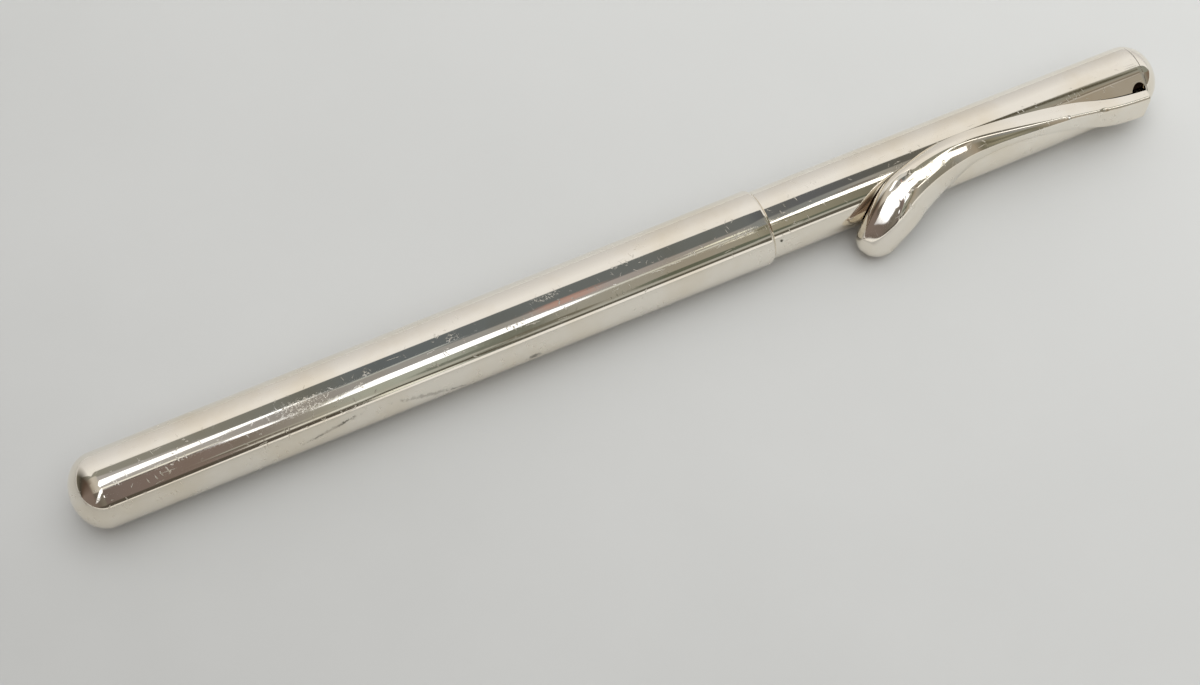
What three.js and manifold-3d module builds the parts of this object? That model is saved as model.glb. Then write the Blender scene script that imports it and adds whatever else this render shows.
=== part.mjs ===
// A capped ballpoint pen in polished silver, lying on a table on its barrel and the tip of its clip.
// Units are millimetres and +Z is up. The pen's axis runs along X, with the cap's end at +X.
// Each station called x is measured along the axis from the barrel's rear end.
// Pieces are modelled with the clip's root on top, and the whole pen is then rolled to its place of rest.

import * as THREE from "three";
import { mergeVertices } from "three/addons/utils/BufferGeometryUtils.js";
import Module from "manifold-3d";

const wasm = await Module();
wasm.setup();

// Facets

const SHELL_FACETS = 40;
const INNER_FACETS = 28;
const SMALL_FACETS = 16;
const WIRE_SIDES = 5;
const COIL_STEPS = 12;
const RING_WIRE_SIDES = 8;
const BALL_SEGMENTS = 12;
const BALL_RINGS = 8;
const SLOT_END_SEGMENTS = 8;
const DOME_STEPS = 6;
const LIP_STEPS = 4;
const CAP_STEPS = 6;

// Clearances

const SEAM_GAP = 0.1;
const FACE_GAP = 0.05;
const PRESS_GAP = 0.05;
const TURNING_GAP = 0.1;
const REFILL_GAP = 0.05;
const CLIP_GAP = 0.15;
const CATCH_SEAT_GAP = 0.02;
const CATCH_BORE_GAP = 0.04;
const TIP_PRESS_GAP = 0.03;
const DOME_SEAM_GAP = 0.03;
const PIN_PRESS_GAP = 0.03;
const PIN_TURNING_GAP = 0.05;

// How far a cutting tool runs past the face that it cuts
const CUT_MARGIN = 1;

// Lengths along the pen. The refill's length and the room round it set those of the barrel and the cap.

const refillRearX = 24.1;
const refillLength = 98.1;
const sectionReach = 40.4;
const tipRoom = 1.9;
const innerCapFloor = 1;
const clipEndLength = 9.5;

const tipX = refillRearX + refillLength;
const barrelLength = tipX - sectionReach;
const capStartX = barrelLength + SEAM_GAP;
const innerCapEndX = tipX + tipRoom + innerCapFloor;
const capEndX = innerCapEndX + clipEndLength;

// Barrel

const barrelRearRadius = 4.25;
const barrelFrontRadius = 4.5;
const barrelWall = 0.4;
const rearDomeDepth = 3.5;
const lipLength = 2.4;
const lipDepth = 0.85;
const lipLand = 0.5;
const mouthRoundingLength = 0.6;
const mouthRoundingDrop = 0.35;

const lipStart = barrelLength - lipLength;
const mouthRoundingStart = barrelLength - mouthRoundingLength;
const mouthRadius = barrelFrontRadius - lipDepth;

// The roll that lays the clip's tip on the table, and the turn that puts a flat facet of the barrel under it
const restRoll = 82;
const facetAngle = 360 / SHELL_FACETS;
const barrelFacetTurn = ((180 - restRoll) % facetAngle) - facetAngle / 2;

function barrelRadiusAt(x) {
  const share = (x - rearDomeDepth) / (mouthRoundingStart - rearDomeDepth);
  return barrelRearRadius + (barrelFrontRadius - barrelRearRadius) * share;
}

// Refill

const refillRadius = 2.9;
const refillWall = 0.3;
const refillShoulderLength = 2;
const refillNeckLength = 6;
const refillNeckRadius = 1.6;
const refillPlugLength = 6.9;
const refillPlugSpigot = 3;
const refillVentRadius = 0.5;
const plugNotchDepth = 1.6;
const plugNotchWidth = 1;
const plugNotchCount = 4;
const tipLength = 5.5;
const tipRadius = 1.17;
const tipConeLength = 2.05;
const tipEndRadius = 0.66;
const tipInsertion = 5;
const inkChannelRadius = 0.3;
const ballRadius = 0.5;
const ballShowing = 0.25;
const ballGap = 0.02;
const ballLipRadius = 0.46;
const ballLipLength = 0.15;
const inkRearSpace = 9;
const inkFrontSpace = 0.3;

// Grip section and nose

const sectionWall = 0.35;
const noseLength = 16;
const noseStraight = 2;
const noseEndRadius = 1.55;
const noseEndRounding = 0.8;
const noseShoulderRadius = 1.8;
const tipShowing = 2.2;
const threadLength = 9.2;
const threadBushLength = 9.4;
const threadBushToLip = 0.2;
const catchRingOffset = 3.1;
const catchRingWire = 0.14;
const catchGrooveDepth = 0.18;
const catchGrooveWidth = 0.4;
const washerThickness = 0.25;

const sectionBore = refillRadius + REFILL_GAP;
const sectionRadius = sectionBore + sectionWall;
const noseEndX = tipX - tipShowing;
const noseStartX = noseEndX - noseLength;
const tipStartX = tipX - tipLength;
const neckStartX = tipStartX - refillNeckLength;
const shoulderStartX = neckStartX - refillShoulderLength;
const refillTubeStartX = refillRearX + refillPlugLength;
const refillTubeBore = refillRadius - refillWall;
const tipRearX = tipStartX - tipInsertion;
const ballX = tipX - ballRadius;
const tipMetalEndX = tipX - ballShowing;

const bushEndX = lipStart - threadBushToLip;
const bushStartX = bushEndX - threadBushLength;
const bushRadius = barrelRadiusAt(bushStartX) - barrelWall - PRESS_GAP;
const washerStartX = bushEndX + FACE_GAP;
const collarStartX = washerStartX + washerThickness + FACE_GAP;
const collarEndX = barrelLength - SEAM_GAP;
const collarRadius = mouthRadius - TURNING_GAP;
const spigotStartX = collarStartX - threadLength;
const catchRingX = barrelLength + catchRingOffset;
const catchGrooveRadius = sectionRadius - catchGrooveDepth;
const catchRingRadius = catchGrooveRadius + CATCH_SEAT_GAP + catchRingWire;
const catchOuterRadius = catchRingRadius + catchRingWire;

// Liner, rear plug and refill spring

const linerWall = 0.4;
const linerToBush = 0.3;
const rearPlugOffset = 1.2;
const rearPlugLength = 3.4;
const rearPlugSpigotLength = 2.9;
const rearPlugSpigotRadius = 1.6;
const refillSpringRoom = 11.5;
const refillSpringRadius = 2.1;
const refillSpringWire = 0.2;
const refillSpringTurns = 7;

const rearPlugEndX = refillRearX - refillSpringRoom;
const rearPlugStartX = rearPlugEndX - rearPlugLength;
const linerStartX = rearPlugStartX - rearPlugOffset;
const linerEndX = bushStartX - linerToBush;
const linerRadius = barrelRadiusAt(linerStartX) - barrelWall - PRESS_GAP;
const linerBore = linerRadius - linerWall;

// Cap

const capMouthRadius = 4.1;
const capMiddleRadius = 4.15;
const capEndRadius = 4.02;
const capWall = 0.3;
const capDomeDepth = 3.4;
const capSeamDepth = 0.5;
const capMouthChamfer = 0.08;
const domeSpigotLength = 0.25;
const clutchOffset = 0.8;
const clutchLength = 10.8;
const clutchSlotCount = 4;
const clutchSlotWidth = 0.6;
const clutchSlotLength = 8;
const innerCapOffset = 0.2;

const capDomeX = capEndX - capDomeDepth;
const capSeamX = capDomeX + capSeamDepth;
const capBodyLength = capDomeX - capStartX;
const catchBore = catchOuterRadius + CATCH_BORE_GAP;
const clutchStartX = capStartX + clutchOffset;
const clutchEndX = clutchStartX + clutchLength;
const innerCapStartX = clutchEndX + innerCapOffset;

// A parabola through the three radii of the cap's body
function capRadiusAt(x) {
  const t = THREE.MathUtils.clamp((x - capStartX) / capBodyLength, 0, 1);
  const mouth = capMouthRadius * (1 - t) * (1 - 2 * t);
  const middle = capMiddleRadius * 4 * t * (1 - t);
  const end = capEndRadius * t * (2 * t - 1);
  return mouth + middle + end;
}

// Clip end of the cap

const slotLength = 1.9;
const slotSpan = 5;
const slotToSeam = 0.15;
const lugThickness = 1.1;
const lugWidth = 3;
const lugSideGap = 0.15;
const lugBottomGap = 0.3;
const lugInRoot = 0.3;
const lugBelowPin = 2.8;
const lugRearSpace = 0.25;
const pinHeight = 0.6;
const pinRadius = 0.4;
const pinHalfLength = 3.2;
const eyeRadius = 0.85;
const blockLength = 5.2;
const blockFrontGap = 0.1;
const clipSpringRadius = 0.75;
const clipSpringWire = 0.12;
const clipSpringTurns = 5;
const clipSpringDrop = 2.1;
const clipSpringDepth = 2.5;
const clipSpringPocketGap = 0.13;

const slotEndX = capSeamX - slotToSeam;
const slotStartX = slotEndX - slotLength;
const lugStartX = slotStartX + lugRearSpace;
const lugEndX = lugStartX + lugThickness;
const pinX = lugStartX + lugThickness / 2;
const lugBottom = pinHeight - lugBelowPin;
const blockEndX = capSeamX - domeSpigotLength - blockFrontGap;
const blockStartX = blockEndX - blockLength;
const blockChannelX = pinX - eyeRadius - lugSideGap;
const clipSpringHeight = pinHeight - clipSpringDrop;

// The clip's size, and the station of its root past the start of the cap's end dome
const clipLength = 37;
const clipRootPastDome = 0.1;
const clipTipLift = 2.35;
const clipHalfWidth = 3.15;
const clipHalfThickness = 2.1;

// The clip's centre line and its section, from the root to the tip.
// at: share of the clip's length. lift, width and thickness: shares of the clip's sizes above.
// sweep: degrees round the cap from the root, positive towards the table.
// face: the same for the way that the section's outer side faces.
// squareness: 2 is an oval, and more is closer to a box with rounded corners.
const clipStations = [
  { at: 0, sweep: -2, face: 9, lift: -0.47, width: 0.745, thickness: 0.94, squareness: 7 },
  { at: 0.111, sweep: -13.5, face: 9, lift: -0.56, width: 0.72, thickness: 1.05, squareness: 7 },
  { at: 0.214, sweep: -35, face: 8, lift: -0.5, width: 0.521, thickness: 1.11, squareness: 7 },
  { at: 0.297, sweep: -47, face: 6, lift: -0.43, width: 0.425, thickness: 1.15, squareness: 6 },
  { at: 0.408, sweep: -56, face: 4, lift: -0.36, width: 0.37, thickness: 1.186, squareness: 3.8 },
  { at: 0.527, sweep: -53.7, face: 2, lift: -0.364, width: 0.435, thickness: 1.07, squareness: 2.8 },
  { at: 0.622, sweep: -47.8, face: 1, lift: -0.53, width: 0.614, thickness: 1.1, squareness: 2.4 },
  { at: 0.684, sweep: -38.7, face: -2, lift: -0.56, width: 0.769, thickness: 1.11, squareness: 2.3 },
  { at: 0.735, sweep: -29.6, face: -8, lift: -0.33, width: 0.883, thickness: 1.05, squareness: 2.15 },
  { at: 0.803, sweep: -22.7, face: -15, lift: -0.03, width: 0.977, thickness: 1.09, squareness: 2 },
  { at: 0.865, sweep: -15.3, face: -18, lift: 0.229, width: 1.031, thickness: 1.08, squareness: 2 },
  { at: 0.908, sweep: -6, face: -14, lift: 0.41, width: 1.05, thickness: 1.05, squareness: 2 },
  { at: 0.954, sweep: 8, face: -8, lift: 0.65, width: 1.02, thickness: 1.02, squareness: 2 },
  { at: 1, sweep: 25.5, face: 0, lift: 0.975, width: 0.89, thickness: 1, squareness: 2 },
];
const clipSamples = 39;
const clipSectionSides = 20;
const clipTipRounding = 2.4;
const clipRootRounding = 0.5;
const clipRoundingSteps = 5;

// Materials

function metal(color, roughness) {
  return new THREE.MeshStandardMaterial({ color, roughness, metalness: 1 });
}

function plastic(color, roughness) {
  return new THREE.MeshStandardMaterial({ color, roughness, metalness: 0 });
}

const silver = () => metal(0xe3ddd2, 0.12);
const wornSilver = () => metal(0xdcd6cb, 0.16);
const brass = () => metal(0xc9a25a, 0.35);
const steel = () => metal(0xb9bcc0, 0.25);
const springSteel = () => metal(0x9a9da1, 0.3);
const carbide = () => metal(0x8b8e92, 0.1);
const blackPlastic = () => plastic(0x1d1e20, 0.45);
const inkBlue = () => plastic(0x14205a, 0.3);

// Geometry helpers

// Points of an elliptical quarter, from its pole on the axis side to its equator
function quarter(centreX, reachX, radius, steps) {
  const points = [];
  for (let i = 0; i <= steps; i += 1) {
    const angle = (Math.PI / 2) * (i / steps);
    points.push([centreX + reachX * Math.cos(angle), radius * Math.sin(angle)]);
  }
  return points;
}

function signedVolume(geometry) {
  const position = geometry.getAttribute("position");
  const index = geometry.getIndex();
  const corners = [new THREE.Vector3(), new THREE.Vector3(), new THREE.Vector3()];
  let volume = 0;
  for (let i = 0; i < index.count; i += 3) {
    corners.forEach((corner, k) => corner.fromBufferAttribute(position, index.getX(i + k)));
    volume += corners[0].dot(corners[1].clone().cross(corners[2])) / 6;
  }
  return volume;
}

// Merges shared corners and turns the faces outward
function closedGeometry(source) {
  const bare = source.clone();
  bare.deleteAttribute("normal");
  bare.deleteAttribute("uv");
  const merged = mergeVertices(bare, 1e-4);
  const index = merged.getIndex();
  const kept = [];
  for (let i = 0; i < index.count; i += 3) {
    const corners = [index.getX(i), index.getX(i + 1), index.getX(i + 2)];
    if (new Set(corners).size === 3) {
      kept.push(...corners);
    }
  }
  merged.setIndex(kept);
  if (signedVolume(merged) < 0) {
    merged.setIndex(kept.reverse());
  }
  return merged;
}

// Revolves [x, radius] points round the pen's axis. A profile off the axis is closed on itself.
function revolve(profile, facets) {
  const points = profile.map(([x, radius]) => new THREE.Vector2(radius, x));
  const onAxis = profile[0][1] === 0 && profile[profile.length - 1][1] === 0;
  if (!onAxis) {
    points.push(points[0].clone());
  }
  const geometry = new THREE.LatheGeometry(points, facets);
  geometry.rotateZ(-Math.PI / 2);
  return closedGeometry(geometry);
}

function tube(startX, endX, outerRadius, innerRadius, facets) {
  return revolve(
    [
      [startX, innerRadius],
      [startX, outerRadius],
      [endX, outerRadius],
      [endX, innerRadius],
    ],
    facets,
  );
}

function rod(startX, endX, radius, facets) {
  return revolve(
    [
      [startX, 0],
      [startX, radius],
      [endX, radius],
      [endX, 0],
    ],
    facets,
  );
}

// A box from one corner to the other
function block(low, high) {
  const size = high.map((value, i) => value - low[i]);
  const geometry = new THREE.BoxGeometry(...size);
  geometry.translate(...low.map((value, i) => value + size[i] / 2));
  return closedGeometry(geometry);
}

// A round rod along Y
function crossRod(x, z, radius, halfLength) {
  const geometry = new THREE.CylinderGeometry(radius, radius, 2 * halfLength, SMALL_FACETS);
  geometry.translate(x, 0, z);
  return closedGeometry(geometry);
}

function toSolid(geometry) {
  const vertProperties = new Float32Array(geometry.getAttribute("position").array);
  const triVerts = new Uint32Array(geometry.getIndex().array);
  return new wasm.Manifold(new wasm.Mesh({ numProp: 3, vertProperties, triVerts }));
}

function toGeometry(solid) {
  const mesh = solid.getMesh();
  const geometry = new THREE.BufferGeometry();
  geometry.setAttribute("position", new THREE.BufferAttribute(mesh.vertProperties, 3));
  geometry.setIndex(Array.from(mesh.triVerts));
  return geometry;
}

function cut(geometry, ...tools) {
  const solid = tools.reduce((left, tool) => left.subtract(toSolid(tool)), toSolid(geometry));
  return toGeometry(solid);
}

function join(geometry, ...others) {
  const solid = others.reduce((whole, other) => whole.add(toSolid(other)), toSolid(geometry));
  return toGeometry(solid);
}

function mesh(name, geometry, material) {
  geometry.computeVertexNormals();
  const piece = new THREE.Mesh(geometry, material);
  piece.name = name;
  return piece;
}

// A helical spring along X with closed ends, centred on the height z
function coilSpring(startX, endX, radius, wire, turns, z) {
  class Helix extends THREE.Curve {
    getPoint(t, target = new THREE.Vector3()) {
      const angle = 2 * Math.PI * turns * t;
      const x = startX + wire + (endX - startX - 2 * wire) * t;
      return target.set(x, radius * Math.sin(angle), z + radius * Math.cos(angle));
    }
  }
  const section = new THREE.Shape();
  for (let i = 0; i < WIRE_SIDES; i += 1) {
    const angle = (2 * Math.PI * i) / WIRE_SIDES;
    const corner = [wire * Math.cos(angle), wire * Math.sin(angle)];
    if (i === 0) {
      section.moveTo(...corner);
    } else {
      section.lineTo(...corner);
    }
  }
  section.closePath();
  const geometry = new THREE.ExtrudeGeometry(section, {
    steps: turns * COIL_STEPS,
    extrudePath: new Helix(),
    bevelEnabled: false,
  });
  return closedGeometry(geometry);
}

// Barrel pieces

function barrelShell() {
  const outerDome = quarter(rearDomeDepth, -rearDomeDepth, barrelRearRadius, DOME_STEPS);
  const mouthRounding = [];
  const innerLip = [];
  const lipBore = barrelRadiusAt(lipStart) - barrelWall;
  for (let i = 0; i <= LIP_STEPS; i += 1) {
    const angle = (Math.PI / 2) * (i / LIP_STEPS);
    const fall = 1 - Math.cos(angle);
    mouthRounding.push([
      mouthRoundingStart + mouthRoundingLength * Math.sin(angle),
      barrelFrontRadius - mouthRoundingDrop * fall,
    ]);
    innerLip.push([
      lipStart + (lipLength - lipLand) * Math.sin(angle),
      lipBore - (lipBore - mouthRadius) * fall,
    ]);
  }
  const innerDome = quarter(
    rearDomeDepth,
    barrelWall - rearDomeDepth,
    barrelRearRadius - barrelWall,
    DOME_STEPS,
  );
  const profile = [
    ...outerDome,
    ...mouthRounding,
    [barrelLength, mouthRadius],
    ...innerLip.reverse(),
    ...innerDome.reverse(),
  ];
  const geometry = revolve(profile, SHELL_FACETS);
  geometry.rotateX(THREE.MathUtils.degToRad(barrelFacetTurn));
  return mesh("barrel_shell", geometry, silver());
}

function barrelLiner() {
  const geometry = tube(linerStartX, linerEndX, linerRadius, linerBore, INNER_FACETS);
  return mesh("barrel_liner", geometry, brass());
}

function threadBush() {
  const bore = sectionRadius + TURNING_GAP;
  const geometry = tube(bushStartX, bushEndX, bushRadius, bore, INNER_FACETS);
  return mesh("thread_bush", geometry, brass());
}

function rearPlug() {
  const radius = linerBore - PRESS_GAP;
  const spigotEndX = rearPlugEndX + rearPlugSpigotLength;
  const profile = [
    [rearPlugStartX, 0],
    [rearPlugStartX, radius],
    [rearPlugEndX, radius],
    [rearPlugEndX, rearPlugSpigotRadius],
    [spigotEndX, rearPlugSpigotRadius],
    [spigotEndX, 0],
  ];
  return mesh("rear_plug", revolve(profile, INNER_FACETS), brass());
}

function refillSpring() {
  const geometry = coilSpring(
    rearPlugEndX + FACE_GAP,
    refillRearX - FACE_GAP,
    refillSpringRadius,
    refillSpringWire,
    refillSpringTurns,
    0,
  );
  return mesh("refill_spring", geometry, springSteel());
}

// Section pieces

function mouthWasher() {
  const inner = sectionRadius + TURNING_GAP;
  const endX = washerStartX + washerThickness;
  return mesh("mouth_washer", tube(washerStartX, endX, collarRadius, inner, INNER_FACETS), steel());
}

function gripSection() {
  const grooveStart = catchRingX - catchGrooveWidth / 2;
  const grooveEnd = catchRingX + catchGrooveWidth / 2;
  const profile = [
    [spigotStartX, sectionBore],
    [spigotStartX, sectionRadius],
    [collarStartX, sectionRadius],
    [collarStartX, collarRadius],
    [collarEndX, collarRadius],
    [collarEndX, sectionRadius],
    [grooveStart, sectionRadius],
    [grooveStart, catchGrooveRadius],
    [grooveEnd, catchGrooveRadius],
    [grooveEnd, sectionRadius],
    [noseStartX - FACE_GAP, sectionRadius],
    [noseStartX - FACE_GAP, sectionBore],
  ];
  return mesh("grip_section", revolve(profile, INNER_FACETS), wornSilver());
}

function noseCone() {
  const neckBore = refillNeckRadius + REFILL_GAP;
  const tipBore = tipRadius + REFILL_GAP;
  const stepX = tipStartX + 2 * REFILL_GAP;
  const profile = [
    [noseStartX, sectionBore],
    [noseStartX, sectionRadius],
    [noseStartX + noseStraight, sectionRadius],
    [noseEndX - noseEndRounding, noseShoulderRadius],
    [noseEndX, noseEndRadius],
    [noseEndX, tipBore],
    [stepX, tipBore],
    [stepX, neckBore],
    [neckStartX + REFILL_GAP, neckBore],
    [shoulderStartX + REFILL_GAP, sectionBore],
  ];
  return mesh("nose_cone", revolve(profile, INNER_FACETS), wornSilver());
}

function catchRing() {
  const profile = [];
  for (let i = 0; i < RING_WIRE_SIDES; i += 1) {
    const angle = (-2 * Math.PI * i) / RING_WIRE_SIDES;
    profile.push([
      catchRingX + catchRingWire * Math.cos(angle),
      catchRingRadius + catchRingWire * Math.sin(angle),
    ]);
  }
  return mesh("catch_ring", revolve(profile, INNER_FACETS), springSteel());
}

// Refill pieces

function refillTube() {
  const neckBore = tipRadius + TIP_PRESS_GAP;
  const profile = [
    [refillTubeStartX, refillTubeBore],
    [refillTubeStartX, refillRadius],
    [shoulderStartX, refillRadius],
    [neckStartX, refillNeckRadius],
    [tipStartX, refillNeckRadius],
    [tipStartX, neckBore],
    [neckStartX, neckBore],
    [shoulderStartX, refillTubeBore],
  ];
  return mesh("refill_tube", revolve(profile, INNER_FACETS), steel());
}

function refillPlug() {
  const crownEnd = refillTubeStartX - FACE_GAP;
  const spigotEnd = crownEnd + refillPlugSpigot;
  const spigotRadius = refillTubeBore - PRESS_GAP;
  const body = revolve(
    [
      [refillRearX, refillVentRadius],
      [refillRearX, refillRadius],
      [crownEnd, refillRadius],
      [crownEnd, spigotRadius],
      [spigotEnd, spigotRadius],
      [spigotEnd, refillVentRadius],
    ],
    INNER_FACETS,
  );
  const notches = [];
  for (let i = 0; i < plugNotchCount; i += 1) {
    const notch = block(
      [refillRearX - CUT_MARGIN, -plugNotchWidth / 2, refillTubeBore],
      [refillRearX + plugNotchDepth, plugNotchWidth / 2, refillRadius + CUT_MARGIN],
    );
    notch.rotateX((2 * Math.PI * i) / plugNotchCount);
    notches.push(notch);
  }
  return mesh("refill_plug", cut(body, ...notches), blackPlastic());
}

function inkColumn() {
  const startX = refillTubeStartX + inkRearSpace;
  const endX = shoulderStartX - inkFrontSpace;
  const radius = refillTubeBore - PRESS_GAP;
  return mesh("ink_column", rod(startX, endX, radius, SMALL_FACETS), inkBlue());
}

function refillTip() {
  const socketRadius = ballRadius + ballGap;
  const socketFloor = ballX - ballRadius - ballGap;
  const profile = [
    [tipRearX, inkChannelRadius],
    [tipRearX, tipRadius],
    [tipMetalEndX - tipConeLength, tipRadius],
    [tipMetalEndX, tipEndRadius],
    [tipMetalEndX, ballLipRadius],
    [tipMetalEndX - ballLipLength, socketRadius],
    [socketFloor, socketRadius],
    [socketFloor, inkChannelRadius],
  ];
  return mesh("refill_tip", revolve(profile, SMALL_FACETS), brass());
}

function writingBall() {
  const geometry = new THREE.SphereGeometry(ballRadius, BALL_SEGMENTS, BALL_RINGS);
  geometry.translate(ballX, 0, 0);
  return mesh("writing_ball", closedGeometry(geometry), carbide());
}

// Cap pieces

function capProfileStations() {
  const stations = [];
  for (let i = 0; i <= CAP_STEPS; i += 1) {
    stations.push(capStartX + (capBodyLength * i) / CAP_STEPS);
  }
  return stations;
}

// The part of an elliptical end dome between the cap's body and its seam
function domeRing(reachX, radius, untilX) {
  const last = Math.asin((untilX - capDomeX) / reachX);
  const points = [];
  for (let i = 1; i <= LIP_STEPS; i += 1) {
    const angle = (last * i) / LIP_STEPS;
    points.push([capDomeX + reachX * Math.sin(angle), radius * Math.cos(angle)]);
  }
  return points;
}

// The rounded slot for the clip's lug. It starts inside the hollow, so that it opens one wall only.
function radialSlot() {
  const radius = slotLength / 2;
  const shape = new THREE.Shape();
  const straight = slotSpan / 2 - radius;
  shape.moveTo(-radius, -straight);
  shape.absarc(0, -straight, radius, Math.PI, 2 * Math.PI, false);
  shape.absarc(0, straight, radius, 0, Math.PI, false);
  shape.closePath();
  const geometry = new THREE.ExtrudeGeometry(shape, {
    depth: 2 * capEndRadius,
    bevelEnabled: false,
    curveSegments: SLOT_END_SEGMENTS,
  });
  geometry.translate((slotStartX + slotEndX) / 2, 0, capEndRadius / 2);
  return closedGeometry(geometry);
}

function capShell() {
  const outer = capProfileStations().map((x) => [x, capRadiusAt(x)]);
  const inner = capProfileStations().map((x) => [x, capRadiusAt(x) - capWall]);
  outer[0] = [capStartX, capMouthRadius - capMouthChamfer];
  outer.splice(1, 0, [capStartX + capMouthChamfer, capMouthRadius]);
  const outerDome = domeRing(capDomeDepth, capEndRadius, capSeamX);
  const innerDome = domeRing(capDomeDepth - capWall, capEndRadius - capWall, capSeamX);
  const profile = [...outer, ...outerDome, ...innerDome.reverse(), ...inner.reverse()];
  return mesh("cap_shell", cut(revolve(profile, SHELL_FACETS), radialSlot()), silver());
}

function capEndDome() {
  const startX = capSeamX + DOME_SEAM_GAP;
  const last = Math.asin((startX - capDomeX) / capDomeDepth);
  const outer = [];
  for (let i = 0; i <= DOME_STEPS; i += 1) {
    const angle = last + ((Math.PI / 2 - last) * i) / DOME_STEPS;
    const radius = i === DOME_STEPS ? 0 : capEndRadius * Math.cos(angle);
    outer.push([capDomeX + capDomeDepth * Math.sin(angle), radius]);
  }
  const innerReach = capDomeDepth - capWall;
  const openingShare = Math.sqrt(1 - ((capSeamX - capDomeX) / innerReach) ** 2);
  const spigotRadius = (capEndRadius - capWall) * openingShare - PRESS_GAP;
  const profile = [
    [startX - domeSpigotLength, 0],
    [startX - domeSpigotLength, spigotRadius],
    [startX, spigotRadius],
    ...outer,
  ];
  return mesh("cap_end_dome", revolve(profile, SHELL_FACETS), silver());
}

function innerCap() {
  const radius = capRadiusAt(innerCapEndX) - capWall - PRESS_GAP;
  const floorX = innerCapEndX - innerCapFloor;
  const profile = [
    [floorX, 0],
    [floorX, catchBore],
    [innerCapStartX, catchBore],
    [innerCapStartX, radius],
    [innerCapEndX, radius],
    [innerCapEndX, 0],
  ];
  return mesh("inner_cap", revolve(profile, INNER_FACETS), blackPlastic());
}

function clutchSleeve() {
  const radius = capMouthRadius - capWall - PRESS_GAP;
  const sleeve = tube(clutchStartX, clutchEndX, radius, catchBore, INNER_FACETS);
  const slots = [];
  for (let i = 0; i < clutchSlotCount; i += 1) {
    const slot = block(
      [clutchEndX - clutchSlotLength, -clutchSlotWidth / 2, 0],
      [clutchEndX + CUT_MARGIN, clutchSlotWidth / 2, capMouthRadius],
    );
    slot.rotateX((2 * Math.PI * (i + 0.5)) / clutchSlotCount);
    slots.push(slot);
  }
  return mesh("clutch_sleeve", cut(sleeve, ...slots), brass());
}

function clipBlock() {
  const radius = capEndRadius - capWall - PRESS_GAP;
  const innerReach = capDomeDepth - capWall;
  const frontShare = Math.sqrt(1 - ((blockEndX - capDomeX) / innerReach) ** 2);
  const frontRadius = (capEndRadius - capWall) * frontShare - PRESS_GAP;
  const body = revolve(
    [
      [blockStartX, 0],
      [blockStartX, radius],
      [capDomeX, radius],
      [blockEndX, frontRadius],
      [blockEndX, 0],
    ],
    INNER_FACETS,
  );
  const channel = block(
    [blockChannelX, -lugWidth / 2 - lugSideGap, lugBottom - lugBottomGap],
    [blockEndX + CUT_MARGIN, lugWidth / 2 + lugSideGap, capEndRadius + CUT_MARGIN],
  );
  const pinHole = crossRod(pinX, pinHeight, pinRadius + PIN_PRESS_GAP, capEndRadius + CUT_MARGIN);
  const pocketRadius = clipSpringRadius + clipSpringWire + clipSpringPocketGap;
  const pocketStartX = blockChannelX - clipSpringDepth;
  const pocket = rod(pocketStartX, blockChannelX + CUT_MARGIN, pocketRadius, SMALL_FACETS);
  pocket.translate(0, 0, clipSpringHeight);
  return mesh("clip_block", cut(body, channel, pinHole, pocket), brass());
}

function clipPin() {
  return mesh("clip_pin", crossRod(pinX, pinHeight, pinRadius, pinHalfLength), steel());
}

function clipSpring() {
  const geometry = coilSpring(
    blockChannelX - clipSpringDepth + FACE_GAP,
    lugStartX - FACE_GAP,
    clipSpringRadius,
    clipSpringWire,
    clipSpringTurns,
    clipSpringHeight,
  );
  return mesh("clip_spring", geometry, springSteel());
}

// Clip

function clipCentre(station) {
  const x = capDomeX + clipRootPastDome - clipLength * station.at;
  const height = capRadiusAt(x) + clipTipLift * station.lift;
  const sweep = THREE.MathUtils.degToRad(station.sweep);
  return new THREE.Vector3(x, -height * Math.sin(sweep), height * Math.cos(sweep));
}

// The section at a station, as two points that curves can blend
function clipSize(station) {
  const halfWidth = clipHalfWidth * station.width;
  const halfThickness = clipHalfThickness * station.thickness;
  return new THREE.Vector3(halfWidth, halfThickness, 0);
}

function clipForm(station) {
  return new THREE.Vector3(THREE.MathUtils.degToRad(station.face), station.squareness, 0);
}

function signedPower(value, exponent) {
  return Math.sign(value) * Math.abs(value) ** exponent;
}

// The section round a place { centre, tangent, size, form } on the centre line, at a share of its full size
function clipRing(place, share) {
  const { centre, tangent, size, form } = place;
  const exponent = 2 / form.y;
  const outward = new THREE.Vector3(0, -Math.sin(form.x), Math.cos(form.x));
  outward.addScaledVector(tangent, -outward.dot(tangent)).normalize();
  const across = new THREE.Vector3().crossVectors(tangent, outward);
  const ring = [];
  for (let i = 0; i < clipSectionSides; i += 1) {
    const angle = (2 * Math.PI * i) / clipSectionSides;
    const point = centre.clone();
    point.addScaledVector(across, size.x * share * signedPower(Math.cos(angle), exponent));
    point.addScaledVector(outward, size.y * share * signedPower(Math.sin(angle), exponent));
    ring.push(point);
  }
  return ring;
}

// Rings that round off one end of the clip, ordered from the full section outwards
function clipEndRings(place, reach) {
  const rings = [];
  for (let i = 1; i < clipRoundingSteps; i += 1) {
    const angle = (Math.PI / 2) * (i / clipRoundingSteps);
    const centre = place.centre.clone().addScaledVector(place.tangent, reach * Math.sin(angle));
    rings.push(clipRing({ ...place, centre }, Math.cos(angle)));
  }
  return rings;
}

function clipPole(place, reach) {
  return place.centre.clone().addScaledVector(place.tangent, reach);
}

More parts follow.
